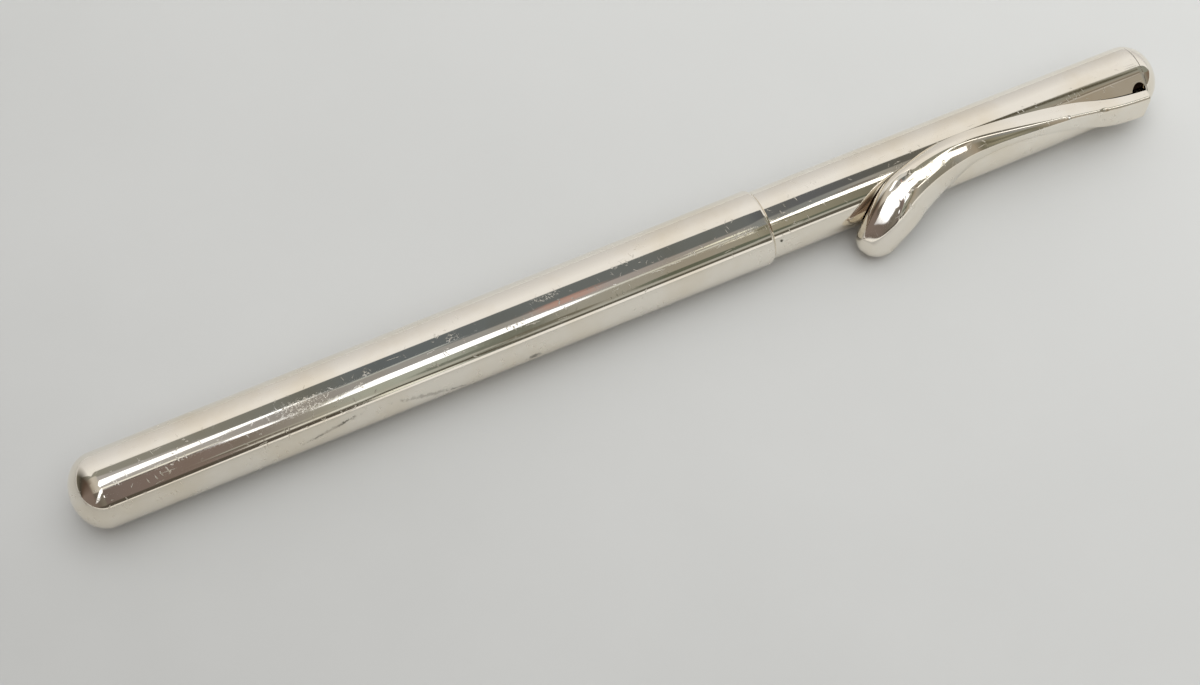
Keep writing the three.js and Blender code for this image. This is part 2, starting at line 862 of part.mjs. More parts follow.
function clipBar() {
  const curves = [clipCentre, clipSize, clipForm].map(
    (pointAt) => new THREE.CatmullRomCurve3(clipStations.map(pointAt), false, "catmullrom"),
  );
  const [path, sizes, forms] = curves;
  const places = [];
  for (let i = 0; i <= clipSamples; i += 1) {
    const t = i / clipSamples;
    places.push({
      centre: path.getPoint(t),
      tangent: path.getTangent(t),
      size: sizes.getPoint(t),
      form: forms.getPoint(t),
    });
  }
  const root = places[0];
  const tip = places[clipSamples];
  const rings = places.map((place) => clipRing(place, 1));
  const rootRings = clipEndRings(root, -clipRootRounding).reverse();
  const tipRings = clipEndRings(tip, clipTipRounding);
  const rootPole = clipPole(root, -clipRootRounding);
  const tipPole = clipPole(tip, clipTipRounding);
  return loft([...rootRings, ...rings, ...tipRings], rootPole, tipPole);
}

// A closed skin over rings of equal count, with a pole at each end
function loft(rings, startPole, endPole) {
  const sides = rings[0].length;
  const points = [startPole, ...rings.flat(), endPole];
  const endIndex = points.length - 1;
  const index = [];
  for (let i = 0; i < sides; i += 1) {
    const next = (i + 1) % sides;
    index.push(0, 1 + next, 1 + i);
    for (let k = 0; k < rings.length - 1; k += 1) {
      const near = 1 + k * sides;
      const far = near + sides;
      index.push(near + i, near + next, far + next);
      index.push(near + i, far + next, far + i);
    }
    const lastRing = endIndex - sides;
    index.push(endIndex, lastRing + i, lastRing + next);
  }
  const geometry = new THREE.BufferGeometry().setFromPoints(points);
  geometry.setIndex(index);
  return closedGeometry(geometry);
}

function clip() {
  const capEnvelope = revolve(
    [
      [capStartX, 0],
      ...capProfileStations().map((x) => [x, capRadiusAt(x) + CLIP_GAP]),
      [capEndX, capEndRadius + CLIP_GAP],
      [capEndX, 0],
    ],
    SHELL_FACETS,
  );
  const lug = block(
    [lugStartX, -lugWidth / 2, lugBottom],
    [lugEndX, lugWidth / 2, capEndRadius + CLIP_GAP + lugInRoot],
  );
  const eye = crossRod(pinX, pinHeight, eyeRadius, lugWidth / 2);
  const pinHole = crossRod(pinX, pinHeight, pinRadius + PIN_TURNING_GAP, lugWidth);
  const geometry = cut(join(cut(clipBar(), capEnvelope), lug, eye), pinHole);
  return mesh("clip", geometry, silver());
}

// Assembly

const barrel = new THREE.Group();
barrel.add(barrelShell(), barrelLiner(), threadBush(), rearPlug(), refillSpring());

const section = new THREE.Group();
section.add(mouthWasher(), gripSection(), noseCone(), catchRing());

const refill = new THREE.Group();
refill.add(refillTube(), refillPlug(), inkColumn(), refillTip(), writingBall());

const cap = new THREE.Group();
cap.add(capShell(), capEndDome(), innerCap(), clutchSleeve(), clipBlock(), clipPin());
cap.add(clipSpring(), clip());

const pen = new THREE.Group();
pen.add(barrel, section, refill, cap);
pen.rotation.x = THREE.MathUtils.degToRad(restRoll);

// The origin is under the middle of the pen, on the table
const bounds = new THREE.Box3().setFromObject(pen, true);
const middle = bounds.getCenter(new THREE.Vector3());
pen.position.set(-middle.x, -middle.y, -bounds.min.z);
pen.updateMatrixWorld(true);

const clipBounds = new THREE.Box3().setFromObject(cap.getObjectByName("clip"), true);
const shellBounds = new THREE.Box3().setFromObject(barrel, true);
console.log("overall size", bounds.getSize(new THREE.Vector3()).toArray());
console.log("clip tip above the table", clipBounds.min.z, "barrel above the table", shellBounds.min.z);
console.log("clip pivot", pen.localToWorld(new THREE.Vector3(pinX, 0, pinHeight)).toArray());
console.log("ball centre", pen.localToWorld(new THREE.Vector3(ballX, 0, 0)).toArray());

export default pen;
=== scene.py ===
import math

import bmesh
import bpy
import numpy as np
from mathutils import Matrix, Vector


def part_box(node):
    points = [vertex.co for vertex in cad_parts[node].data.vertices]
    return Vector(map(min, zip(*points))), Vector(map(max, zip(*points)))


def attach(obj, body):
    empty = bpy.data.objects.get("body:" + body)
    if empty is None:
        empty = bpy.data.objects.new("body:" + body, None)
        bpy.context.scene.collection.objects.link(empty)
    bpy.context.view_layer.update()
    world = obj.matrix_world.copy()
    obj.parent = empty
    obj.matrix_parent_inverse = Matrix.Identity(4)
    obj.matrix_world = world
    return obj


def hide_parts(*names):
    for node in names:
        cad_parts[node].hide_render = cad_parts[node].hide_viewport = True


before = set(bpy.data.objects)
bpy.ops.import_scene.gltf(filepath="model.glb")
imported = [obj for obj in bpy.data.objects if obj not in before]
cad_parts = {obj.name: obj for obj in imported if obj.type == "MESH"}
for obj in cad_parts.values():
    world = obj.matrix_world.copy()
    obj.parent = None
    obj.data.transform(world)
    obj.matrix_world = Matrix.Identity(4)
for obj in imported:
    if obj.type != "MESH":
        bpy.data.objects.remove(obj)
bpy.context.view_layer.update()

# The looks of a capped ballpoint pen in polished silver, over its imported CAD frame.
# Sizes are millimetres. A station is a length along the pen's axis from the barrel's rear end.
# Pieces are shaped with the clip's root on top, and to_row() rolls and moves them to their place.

MM = 0.001
REST_ROLL = math.radians(82)
SEGMENTS = 192
SMALL_SEGMENTS = 64
SHARP_ANGLE = math.radians(28)
RING_SPACING = 2.0
DOME_STEPS = 40
# The CAD shells are polygons inside their true circles, and the smooth shells stay inside those.
SHELL_FIT = math.cos(math.pi / 40)
CLIP_FIT = math.cos(math.pi / 20)


# Places taken from the frame

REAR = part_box("barrel_shell")[0].x
section_low, section_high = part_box("grip_section")
AXIS_Y = (section_low.y + section_high.y) / 2
AXIS_Z = (section_low.z + section_high.z) / 2


def span(node):
    """The stations where a node starts and ends."""
    low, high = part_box(node)
    return (low.x - REAR) / MM, (high.x - REAR) / MM


def to_row(points):
    """Pen coordinates (station, across, up) to the row frame in metres."""
    station, across, up = np.asarray(points, float).T
    cos, sin = math.cos(REST_ROLL), math.sin(REST_ROLL)
    return np.column_stack([
        REAR + station * MM,
        AXIS_Y + (across * cos - up * sin) * MM,
        AXIS_Z + (across * sin + up * cos) * MM,
    ])


# Mesh helpers


def placed(name, data):
    """A new object in the scene."""
    thing = bpy.data.objects.new(name, data)
    bpy.context.scene.collection.objects.link(thing)
    return thing


def solid(name, points, faces):
    """A closed, smooth-shaded mesh object with crisp edges, from points in pen coordinates."""
    mesh = bpy.data.meshes.new(name)
    mesh.from_pydata(to_row(points).tolist(), [], faces)
    work = bmesh.new()
    work.from_mesh(mesh)
    bmesh.ops.recalc_face_normals(work, faces=work.faces)
    work.to_mesh(mesh)
    work.free()
    mesh.shade_smooth()
    mesh.set_sharp_from_angle(angle=SHARP_ANGLE)
    return placed(name, mesh)


def resampled(profile):
    """The profile with long straight runs split, so that shading stays true along them."""
    points = [profile[0]]
    for (x0, r0), (x1, r1) in zip(profile, profile[1:]):
        parts = max(1, math.ceil(math.hypot(x1 - x0, r1 - r0) / RING_SPACING))
        for k in range(1, parts + 1):
            points.append((x0 + (x1 - x0) * k / parts, r0 + (r1 - r0) * k / parts))
    return points


def lathe(name, profile, segments=SEGMENTS, fit=1.0, groove=None):
    """A piece turned from (station, radius) points. One off the axis is closed on itself.
    groove(station, radius, turn) is how far the skin sinks there, for threads."""
    closed = profile[0][1] > 0
    outline = resampled(profile + profile[:1] if closed else profile)
    if closed:
        outline.pop()
    points, rings = [], []
    for station, radius in outline:
        if radius == 0:
            rings.append([len(points)] * segments)
            points.append((station, 0, 0))
            continue
        rings.append(list(range(len(points), len(points) + segments)))
        for k in range(segments):
            angle = 2 * math.pi * k / segments
            reach = radius * fit
            if groove:
                reach -= groove(station, radius, k / segments)
            points.append((station, -reach * math.sin(angle), reach * math.cos(angle)))
    pairs = list(zip(rings, rings[1:]))
    if closed:
        pairs.append((rings[-1], rings[0]))
    faces = []
    for near, far in pairs:
        for k in range(segments):
            corners = [near[k - 1], near[k], far[k], far[k - 1]]
            faces.append(list(dict.fromkeys(corners)))
    return solid(name, points, faces)


def loft(name, rings, start_pole, end_pole):
    """A closed skin over rings of equal count, with a pole at each end."""
    sides = len(rings[0])
    points = [start_pole, *np.concatenate(rings), end_pole]
    last = len(points) - 1
    faces = []
    for i in range(sides):
        j = (i + 1) % sides
        faces.append([0, 1 + j, 1 + i])
        for k in range(len(rings) - 1):
            near, far = 1 + k * sides, 1 + (k + 1) * sides
            faces.append([near + i, near + j, far + j, far + i])
        faces.append([last, last - sides + i, last - sides + j])
    return solid(name, points, faces)


def bar(name, outline, low, high, turn=0):
    """A straight bar: a closed outline of (station, across) points, from one height to another,
    turned about the pen's axis by an angle in degrees."""
    cos, sin = math.cos(math.radians(turn)), math.sin(math.radians(turn))
    count = len(outline)
    points = [(x, y * cos - z * sin, y * sin + z * cos) for z in (low, high) for x, y in outline]
    faces = [list(range(count)), list(range(count, 2 * count))]
    for i in range(count):
        j = (i + 1) % count
        faces.append([i, j, count + j, count + i])
    return solid(name, points, faces)


def cut(piece, *tools):
    """Takes the tools' volume from a piece for good."""
    for tool in tools:
        modifier = piece.modifiers.new("cut", "BOOLEAN")
        modifier.operation = "DIFFERENCE"
        modifier.solver = "EXACT"
        modifier.object = tool
    bpy.context.view_layer.update()
    result = piece.evaluated_get(bpy.context.evaluated_depsgraph_get())
    mesh = bpy.data.meshes.new_from_object(result)
    piece.modifiers.clear()
    piece.data = mesh
    mesh.set_sharp_from_angle(angle=SHARP_ANGLE)
    for tool in tools:
        bpy.data.objects.remove(tool)
    return piece


def arc(centre, reach, rise, start, end, steps):
    """Points (x, y) of an elliptical arc round a centre, between two angles in degrees."""
    points = []
    for i in range(steps + 1):
        angle = math.radians(start + (end - start) * i / steps)
        points.append((centre[0] + reach * math.cos(angle), centre[1] + rise * math.sin(angle)))
    return points


def quarter(centre, reach, radius, steps=DOME_STEPS):
    """Points of an elliptical quarter, from its pole on the axis to its equator."""
    return arc((centre, 0), reach, radius, 0, 90, steps)


def dressed(piece, material):
    """Gives a piece its only material."""
    piece.data.materials.clear()
    piece.data.materials.append(materials[material])


def finished(piece, body, slot, *nodes):
    """Gives a piece its body, its slot and material, and the CAD nodes that it stands for."""
    dressed(piece, slot)
    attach(piece, body)
    if nodes:
        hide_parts(*nodes)


# Node helpers


def linear(red, green, blue):
    """An 8-bit display colour as the linear RGBA that nodes take."""
    channels = [c / 255 for c in (red, green, blue)]
    return (*[c / 12.92 if c <= 0.04045 else ((c + 0.055) / 1.055) ** 2.4 for c in channels], 1)


class Tree:
    """Short ways to add nodes and join them."""

    def __init__(self, owner):
        self.owner = owner
        owner.use_nodes = True
        self.tree = owner.node_tree
        self.tree.nodes.clear()

    def add(self, kind, inputs=None, **settings):
        """A new shader node of a kind, with its inputs by name or number."""
        node = self.tree.nodes.new("ShaderNode" + kind)
        for name, value in settings.items():
            setattr(node, name, value)
        for key, value in (inputs or {}).items():
            self.put(node.inputs[key], value)
        return node

    def put(self, socket, value):
        if isinstance(value, bpy.types.NodeSocket):
            self.tree.links.new(value, socket)
        else:
            socket.default_value = value

    def value(self, kind, inputs=None, **settings):
        """The first output of a new node."""
        return self.add(kind, inputs, **settings).outputs[0]

    def math(self, operation, *values):
        return self.value("Math", dict(enumerate(values)), operation=operation)

    def times(self, first, second):
        return self.math("MULTIPLY", first, second)

    def scaled(self, vector, factor):
        return self.value("VectorMath", {0: vector, 1: factor}, operation="MULTIPLY")

    def noise(self, vector, scale, detail=2.0, roughness=0.5):
        return self.value("TexNoise", {
            "Vector": vector, "Scale": scale, "Detail": detail, "Roughness": roughness,
        })

    def ramp(self, factor, stops):
        """A colour ramp through (position, colour or grey) stops."""
        node = self.add("ValToRGB", {0: factor})
        ramp = node.color_ramp
        while len(ramp.elements) < len(stops):
            ramp.elements.new(0.5)
        while len(ramp.elements) > len(stops):
            ramp.elements.remove(ramp.elements[-1])
        for element, (position, colour) in zip(ramp.elements, stops):
            element.position = position
            element.color = colour if hasattr(colour, "__len__") else (colour, colour, colour, 1)
        return node.outputs[0]

    def mix(self, factor, first, second):
        node = self.add("Mix", data_type="RGBA")
        for socket, value in ((0, factor), (6, first), (7, second)):
            self.put(node.inputs[socket], value)
        return node.outputs[2]

    def fit(self, value, low, high, to_low, to_high):
        """The value moved from one range to another and held inside it."""
        return self.value("MapRange", {0: value, 1: low, 2: high, 3: to_low, 4: to_high})

    def band(self, value, low, high, soft):
        """1 between low and high, which may be sockets, and 0 outside, with soft edges."""
        rise = self.fit(value, self.math("SUBTRACT", low, soft), low, 0, 1)
        fall = self.fit(value, high, self.math("ADD", high, soft), 1, 0)
        return self.times(rise, fall)

    def skin(self, colour, rough, height=None, metallic=0.0, strength=1.0):
        """Ends a material with its shader and a bump, whose height is in millimetres."""
        inputs = {"Base Color": colour, "Roughness": rough, "Metallic": metallic}
        if height is not None:
            inputs["Normal"] = self.value("Bump", {
                "Strength": strength, "Distance": MM, "Height": height,
            })
        self.add("OutputMaterial", {"Surface": self.value("BsdfPrincipled", inputs)})
        return self.owner


UNROLL_RADIUS = 4.0


def pen_material(name):
    """A new material's tree with places in millimetres: from the pen's axis, unrolled round it
    as (station, length round it, 0) with the seam underneath, and the station alone."""
    tree = Tree(bpy.data.materials.new(name))
    place = tree.add("TexCoord").outputs["Object"]
    shifted = tree.value(
        "VectorMath", {0: place, 1: (REAR, AXIS_Y, AXIS_Z)}, operation="SUBTRACT")
    local = tree.scaled(shifted, (1 / MM,) * 3)
    station, across, up = tree.add("SeparateXYZ", {0: local}).outputs
    around = tree.times(tree.math("ARCTAN2", across, up), UNROLL_RADIUS)
    unrolled = tree.value("CombineXYZ", {0: station, 1: around})
    return tree, local, unrolled, station


def strokes(tree, space, tilt, length, width, size, amount, seed):
    """Short straight strokes, 1 on a stroke and 0 elsewhere: one at most in each cell of
    length by width millimetres, in the given share of the cells."""
    turned = tree.value("Mapping", {
        "Vector": space,
        "Location": (seed, seed * 1.7, 0),
        "Rotation": (0, 0, math.radians(tilt)),
    })
    cells = tree.add("TexVoronoi", {
        "Vector": tree.scaled(turned, (1 / length, 1 / width, 1)), "Scale": 1.0,
    }, voronoi_dimensions="2D")
    line = tree.fit(cells.outputs["Distance"], size * 0.6, size, 1, 0)
    pick = tree.value("SeparateXYZ", {0: cells.outputs["Color"]})
    chosen = tree.math("GREATER_THAN", pick, 1 - amount)
    return tree.times(line, chosen)


def mark(tree, space, station, around, length, width, tilt):
    """A ragged oval mark, 1 inside and 0 outside."""
    local = tree.value("Mapping", {
        "Vector": space,
        "Location": (station, around, 0),
        "Rotation": (0, 0, math.radians(tilt)),
        "Scale": (length / 2, width / 2, 1),
    }, vector_type="TEXTURE")
    away = tree.add("VectorMath", {0: local}, operation="LENGTH").outputs["Value"]
    ragged = tree.fit(tree.noise(space, 2.2, detail=4.0, roughness=0.7), 0.3, 0.7, -0.6, 0.6)
    return tree.fit(tree.math("ADD", away, ragged), 0.35, 0.95, 1, 0)


def total(tree, values):
    """The sum of some values."""
    result, *rest = values
    for value in rest:
        result = tree.math("ADD", result, value)
    return result


SWELL_HEIGHT = 0.004
DENT_HEIGHT = 0.0004
SCRATCH_DEPTH = 0.001
# Strokes in the silver: tilt, length, width, size, amount, seed
SCRATCHES = [
    (3, 15, 0.7, 0.07, 0.35, 3.1),
    (-7, 11, 0.8, 0.06, 0.35, 11.7),
    (38, 7, 1.4, 0.05, 0.25, 23.9),
]
FLECKS = [
    (72, 2.4, 0.55, 0.14, 0.3, 41.9),
    (-48, 2.6, 0.7, 0.12, 0.25, 57.3),
    (15, 1.6, 0.6, 0.13, 0.25, 63.7),
]
# Dark marks in the silver: station, length round the pen, length, width, tilt, strength
TARNISH_MARKS = [
    (28.0, -5.45, 8.5, 0.5, 8.5, 0.3),
    (29.6, -5.2, 2.2, 0.35, 14, 0.75),
    (26.2, -5.75, 2.4, 0.3, 8, 0.4),
    (39.5, -6.2, 9.0, 0.7, -13.5, 0.35),
    (42.5, -6.95, 3.5, 0.5, -13.5, 0.4),
    (51.7, -6.9, 1.8, 1.1, 0, 0.7),
    (82.75, -4.72, 0.45, 0.45, 0, 1.0),
]
TARNISH_DARK = linear(74, 70, 60)
# Scuffed spots, as above without the tilt and strength
SCUFF_MARKS = [
    (33.5, -1.15, 1.5, 0.9),
    (25.5, -1.6, 6.0, 1.6),
    (63.3, -0.6, 0.9, 0.5),
    (43.5, -1.0, 2.2, 0.9),
    (50.5, -2.3, 3.0, 0.6),
    (54.5, -0.8, 5.0, 0.8),
    (72.0, -2.2, 1.2, 0.6),
    (78.5, -2.3, 4.0, 0.9),
]


def polished_metal(name, clean, tarnish, roughness, wear=1.0, marked=False):
    """Mirror-polished metal with fine scratches, scuffed patches, faint tarnish and a soft wave."""
    tree, local, unrolled, _ = pen_material(name)
    patches = tree.fit(tree.noise(unrolled, 0.13), 0.42, 0.66, 0.1, 1)
    scratches = total(tree, [strokes(tree, unrolled, *form) for form in SCRATCHES])
    flecks = total(tree, [strokes(tree, unrolled, *form) for form in FLECKS])
    flecks = tree.times(patches, flecks)
    mottle = tree.fit(tree.noise(unrolled, 2.4, detail=4.0, roughness=0.7), 0.48, 0.8, 0, 1)
    mottle = tree.times(mottle, patches)
    film = tree.fit(tree.noise(local, 0.12, detail=4.0, roughness=0.6), 0.42, 0.75, 0, 0.55)
    grain = tree.noise(unrolled, 9.0, detail=3.0, roughness=0.6)
    colour = tree.mix(film, linear(*clean), linear(*tarnish))
    rough = total(tree, [
        tree.fit(grain, 0.3, 0.7, roughness * 0.8, roughness * 1.3),
        tree.times(mottle, 0.12 * wear),
        tree.times(scratches, 0.25 * wear),
        tree.times(flecks, 0.4 * wear),
    ])
    if marked:
        for *place, tilt, strength in TARNISH_MARKS:
            spot = tree.times(mark(tree, unrolled, *place, tilt), strength)
            colour = tree.mix(spot, colour, TARNISH_DARK)
        scuffs = total(tree, [mark(tree, unrolled, *place, 0) for place in SCUFF_MARKS])
        broken = tree.fit(tree.noise(unrolled, 3.5, detail=3.0, roughness=0.7), 0.48, 0.6, 0, 0.4)
        rough = tree.math("ADD", rough, tree.times(scuffs, broken))
    swell = tree.times(tree.noise(unrolled, 0.16, detail=1.0), SWELL_HEIGHT)
    dents = tree.times(tree.noise(unrolled, 0.9), DENT_HEIGHT)
    furrow = tree.times(total(tree, [scratches, flecks]), -SCRATCH_DEPTH * wear)
    return tree.skin(colour, rough, total(tree, [swell, dents, furrow]), metallic=1.0)


TURNING_DEPTH = 0.0006
PEEL_HEIGHT = 0.004


def turned_metal(name, clean, tarnish, roughness):
    """Machined metal with fine turning marks round the pen's axis."""
    tree, local, _, station = pen_material(name)
    marks = tree.value("TexNoise", {"W": station, "Scale": 14.0, "Detail": 3.0},
                       noise_dimensions="1D")
    film = tree.fit(tree.noise(local, 0.5, detail=4.0, roughness=0.65), 0.4, 0.75, 0, 0.7)
    colour = tree.mix(film, linear(*clean), linear(*tarnish))
    grain = tree.noise(local, 3.0, detail=3.0)
    rough = tree.fit(grain, 0.3, 0.7, roughness * 0.8, roughness * 1.3)
    return tree.skin(colour, rough, tree.times(marks, TURNING_DEPTH), metallic=1.0)


def moulded_plastic(name, base, worn, roughness):
    """Moulded plastic with a faint orange-peel skin."""
    tree, local, _, _ = pen_material(name)
    cloud = tree.fit(tree.noise(local, 0.8, detail=4.0), 0.35, 0.7, 0, 1)
    colour = tree.mix(cloud, linear(*base), linear(*worn))
    grain = tree.noise(local, 2.5)
    rough = tree.fit(grain, 0.3, 0.7, roughness * 0.85, roughness * 1.2)
    peel = tree.times(tree.noise(local, 5.0), PEEL_HEIGHT)
    return tree.skin(colour, rough, peel, strength=0.6)


def ink(name):
    """Thick blue ink."""
    tree, local, _, _ = pen_material(name)
    cloud = tree.noise(local, 1.2, detail=3.0)
    colour = tree.mix(cloud, linear(10, 16, 70), linear(24, 36, 110))
    return tree.skin(colour, tree.fit(cloud, 0.3, 0.7, 0.15, 0.3))


# Barrel


BARREL_REAR_RADIUS = 4.25
BARREL_FRONT_RADIUS = 4.5
BARREL_WALL = 0.4
REAR_DOME = 3.5
LIP_LENGTH = 2.4
LIP_DEPTH = 0.85
LIP_LAND = 0.5
MOUTH_ROUNDING_LENGTH = 0.35
MOUTH_ROUNDING_DROP = 0.3
LIP_STEPS = 24


def rounded_fall(start, length, radius, drop):
    """A quarter curve from level to steep."""
    return arc((start, radius - drop), length, drop, 90, 0, LIP_STEPS)


def barrel_body():
    """The shell: a domed rear, a slight taper, a rounded mouth and a rolled lip inside it."""
    end = span("barrel_shell")[1]
    outer = quarter(REAR_DOME, -REAR_DOME, BARREL_REAR_RADIUS)
    outer += rounded_fall(end - MOUTH_ROUNDING_LENGTH, MOUTH_ROUNDING_LENGTH,
                          BARREL_FRONT_RADIUS, MOUTH_ROUNDING_DROP)
    inner = quarter(REAR_DOME, BARREL_WALL - REAR_DOME, BARREL_REAR_RADIUS - BARREL_WALL)
    inner += rounded_fall(end - LIP_LENGTH, LIP_LENGTH - LIP_LAND,
                          BARREL_FRONT_RADIUS - BARREL_WALL, LIP_DEPTH - BARREL_WALL)
    mouth = (end, BARREL_FRONT_RADIUS - LIP_DEPTH)
    shell = lathe("barrel_body", outer + [mouth] + inner[::-1], fit=SHELL_FIT)
    finished(shell, "barrel", "silver", "barrel_shell")


# Cap


CAP_MOUTH_RADIUS = 4.1
CAP_MIDDLE_RADIUS = 4.15
CAP_END_RADIUS = 4.02
CAP_WALL = 0.3
CAP_DOME = 3.4
CAP_CHAMFER = 0.08
SEAM_CHAMFER = 0.03
SEAM_GAP = 0.03
SEAM_STEPS = 12
CROWN_STEP = 0.45
CAP_STATIONS = 48
SLOT_LENGTH = 1.9
SLOT_SPAN = 5.0
SLOT_TO_SEAM = 0.15
SLOT_STEPS = 16

cap_start, cap_seam = span("cap_shell")
crown_start, cap_end = span("cap_end_dome")
cap_dome = cap_end - CAP_DOME
cap_stations = [
    cap_start + (cap_dome - cap_start) * i / CAP_STATIONS for i in range(CAP_STATIONS + 1)
]


def cap_radius(station):
    """The cap's body radius: a parabola through its mouth, middle and end, level past the dome."""
    t = min(max((station - cap_start) / (cap_dome - cap_start), 0), 1)
    mouth = CAP_MOUTH_RADIUS * (1 - t) * (1 - 2 * t)
    return mouth + CAP_MIDDLE_RADIUS * 4 * t * (1 - t) + CAP_END_RADIUS * t * (2 * t - 1)


def dome_arc(reach, radius, start, end, steps):
    """Points of the cap's end dome between two stations."""
    first, last = (math.degrees(math.acos(min((x - cap_dome) / reach, 1))) for x in (start, end))
    return arc((cap_dome, 0), reach, radius, first, last, steps)


def slot_cutter():
    """A tool for the obround slot that the clip's lug goes through."""
    radius = SLOT_LENGTH / 2
    middle = cap_seam - SLOT_TO_SEAM - radius
    straight = SLOT_SPAN / 2 - radius
    outline = []
    for centre, first in ((straight, 0), (-straight, 180)):
        outline += arc((middle, centre), radius, radius, first, first + 180, SLOT_STEPS)
    return bar("slot_cutter", outline, CAP_END_RADIUS / 2, CAP_END_RADIUS * 2)


def cap_body():
    """The cap's tube up to the seam with its dome, with the slot for the clip."""
    outer, inner = [(cap_start, CAP_MOUTH_RADIUS - CAP_CHAMFER)], []
    for station in cap_stations:
        outer.append((max(station, cap_start + CAP_CHAMFER), cap_radius(station)))
        inner.append((station, cap_radius(station) - CAP_WALL))
    chamfer_start = cap_seam - SEAM_CHAMFER
    outer += dome_arc(CAP_DOME, CAP_END_RADIUS, cap_dome, chamfer_start, SEAM_STEPS)[1:]
    outer.append((cap_seam, outer[-1][1] - 1.5 * SEAM_CHAMFER))
    inner += dome_arc(CAP_DOME - CAP_WALL, CAP_END_RADIUS - CAP_WALL,
                      cap_dome, cap_seam, SEAM_STEPS)[1:]
    shell = lathe("cap_body", outer + inner[::-1], fit=SHELL_FIT)
    finished(cut(shell, slot_cutter()), "cap", "silver", "cap_shell")


def cap_crown():
    """The dome, stepped to sit in the cap's tube."""
    seam_face = cap_seam + SEAM_GAP
    outer = dome_arc(CAP_DOME, CAP_END_RADIUS, seam_face + SEAM_CHAMFER, cap_end, DOME_STEPS)
    outer[-1] = (cap_end, 0)
    rim = outer[0][1]
    spigot = rim - CROWN_STEP
    profile = [(crown_start, 0), (crown_start, spigot), (seam_face, spigot)]
    profile.append((seam_face, rim - SEAM_CHAMFER))
    crown = lathe("cap_crown", profile + outer, fit=SHELL_FIT)
    finished(crown, "cap", "silver", "cap_end_dome")


# Clip

CLIP_LENGTH = 37.0
CLIP_ROOT_PAST_DOME = 0.1
CLIP_TIP_LIFT = 2.35
CLIP_HALF_WIDTH = 3.15
CLIP_HALF_THICKNESS = 2.1
CLIP_GAP = 0.15
CLIP_TIP_ROUNDING = 2.4
CLIP_ROOT_ROUNDING = 0.5
CLIP_SAMPLES = 260
CLIP_SIDES = 160
CLIP_FINENESS = 40
CLIP_END_STEPS = 20

# The clip from root to tip. Along: share of its length. Sweep and face: degrees round the cap.
# Lift, width and thickness: shares of the sizes above. Squareness: 2 is oval, more is boxier.
# A soft facet along the ridge takes a share of the section off, at an angle round the pen.
CLIP_STATIONS = [
    # along, sweep, face, lift, width, thickness, squareness
    (0, 5.8, 9, -0.47, 0.622, 0.94, 7),
    (0.111, -5.7, 9, -0.56, 0.6, 1.05, 7),
    (0.214, -28.5, 8, -0.5, 0.475, 1.11, 7),
    (0.297, -41.5, 6, -0.422, 0.405, 1.15, 6),
    (0.408, -49.5, 4, -0.338, 0.363, 1.15, 3.8),
    (0.527, -52.5, 2, -0.402, 0.438, 1.12, 2.8),
    (0.622, -47.9, 0, -0.542, 0.615, 1.1, 2.45),
    (0.684, -38.1, -3, -0.544, 0.764, 1.09, 2.25),
    (0.735, -29.1, -6.5, -0.408, 0.885, 1.08, 2.12),
    (0.803, -21.1, -11, -0.084, 0.994, 1.07, 2.04),
    (0.865, -15.1, -14, 0.234, 1.073, 1.06, 2),
    (0.908, -8.3, -14, 0.43, 1.105, 1.05, 2),
    (0.954, 4.8, -11, 0.686, 1.029, 1.03, 2),
    (1, 25.5, 0, 0.975, 0.89, 1, 2),
]
# The facet's depth, as a share of the section, and its angle, by share of the clip's length
FACET_SHARE = [(0, 0), (0.3, 0), (0.42, 0.05), (0.55, 0.09), (0.95, 0.12), (1, 0.06)]
FACET_ANGLE = [(0, 49.5), (0.6, 48.5), (0.72, 50), (0.85, 56), (0.95, 60), (1, 60)]
FACET_CRISPNESS = 24


def smooth_curve(knots, shares):
    """A curve through evenly spaced knots whose bend also changes evenly (a natural spline)."""
    knots = np.asarray(knots, float)
    count = len(knots)
    system = np.eye(count)
    pull = np.zeros_like(knots)
    for i in range(1, count - 1):
        system[i, i - 1:i + 2] = 1, 4, 1
        pull[i] = 6 * (knots[i - 1] - 2 * knots[i] + knots[i + 1])
    bend = np.linalg.solve(system, pull)
    place = np.clip(shares, 0, 1) * (count - 1)
    i = np.minimum(place.astype(int), count - 2)
    t = (place - i)[:, None]
    s = 1 - t
    return (s * knots[i] + t * knots[i + 1]
            + (s**3 - s) / 6 * bend[i] + (t**3 - t) / 6 * bend[i + 1])


def clip_centre(along, sweep, lift):
    """The middle of the clip's section at a share of its length."""
    station = cap_dome + CLIP_ROOT_PAST_DOME - CLIP_LENGTH * along
    height = cap_radius(station) + CLIP_TIP_LIFT * lift
    angle = math.radians(sweep)
    return station, -height * math.sin(angle), height * math.cos(angle)


def signed_power(values, exponent):
    """Powers that keep the values' signs."""
    return np.sign(values) * np.abs(values) ** exponent


def clip_ring(centre, tangent, section, share):
    """The section round a point of the clip's centre line, at a share of its full size."""
    half_width, half_thickness, face, squareness, facet, facet_angle = section
    turn = math.radians(face)
    outward = np.array([0, -math.sin(turn), math.cos(turn)])
    outward -= tangent * (outward @ tangent)
    outward /= np.linalg.norm(outward)
    across = np.cross(tangent, outward)
    angles = ring_angles(squareness)
    wide = half_width * signed_power(np.cos(angles), 2 / squareness)
    deep = half_thickness * signed_power(np.sin(angles), 2 / squareness)
    ring = np.outer(wide, across) + np.outer(deep, outward)
    tilt = math.radians(facet_angle)
    towards = ring @ np.array([0, math.sin(tilt), math.cos(tilt)])
    nearness = np.maximum(towards, 0) / (towards.max() * (1 - facet))
    kept = (1 + nearness**FACET_CRISPNESS) ** (-1 / FACET_CRISPNESS) if facet > 0.001 else 1
    return centre + ring * np.reshape(kept, (-1, 1)) * share


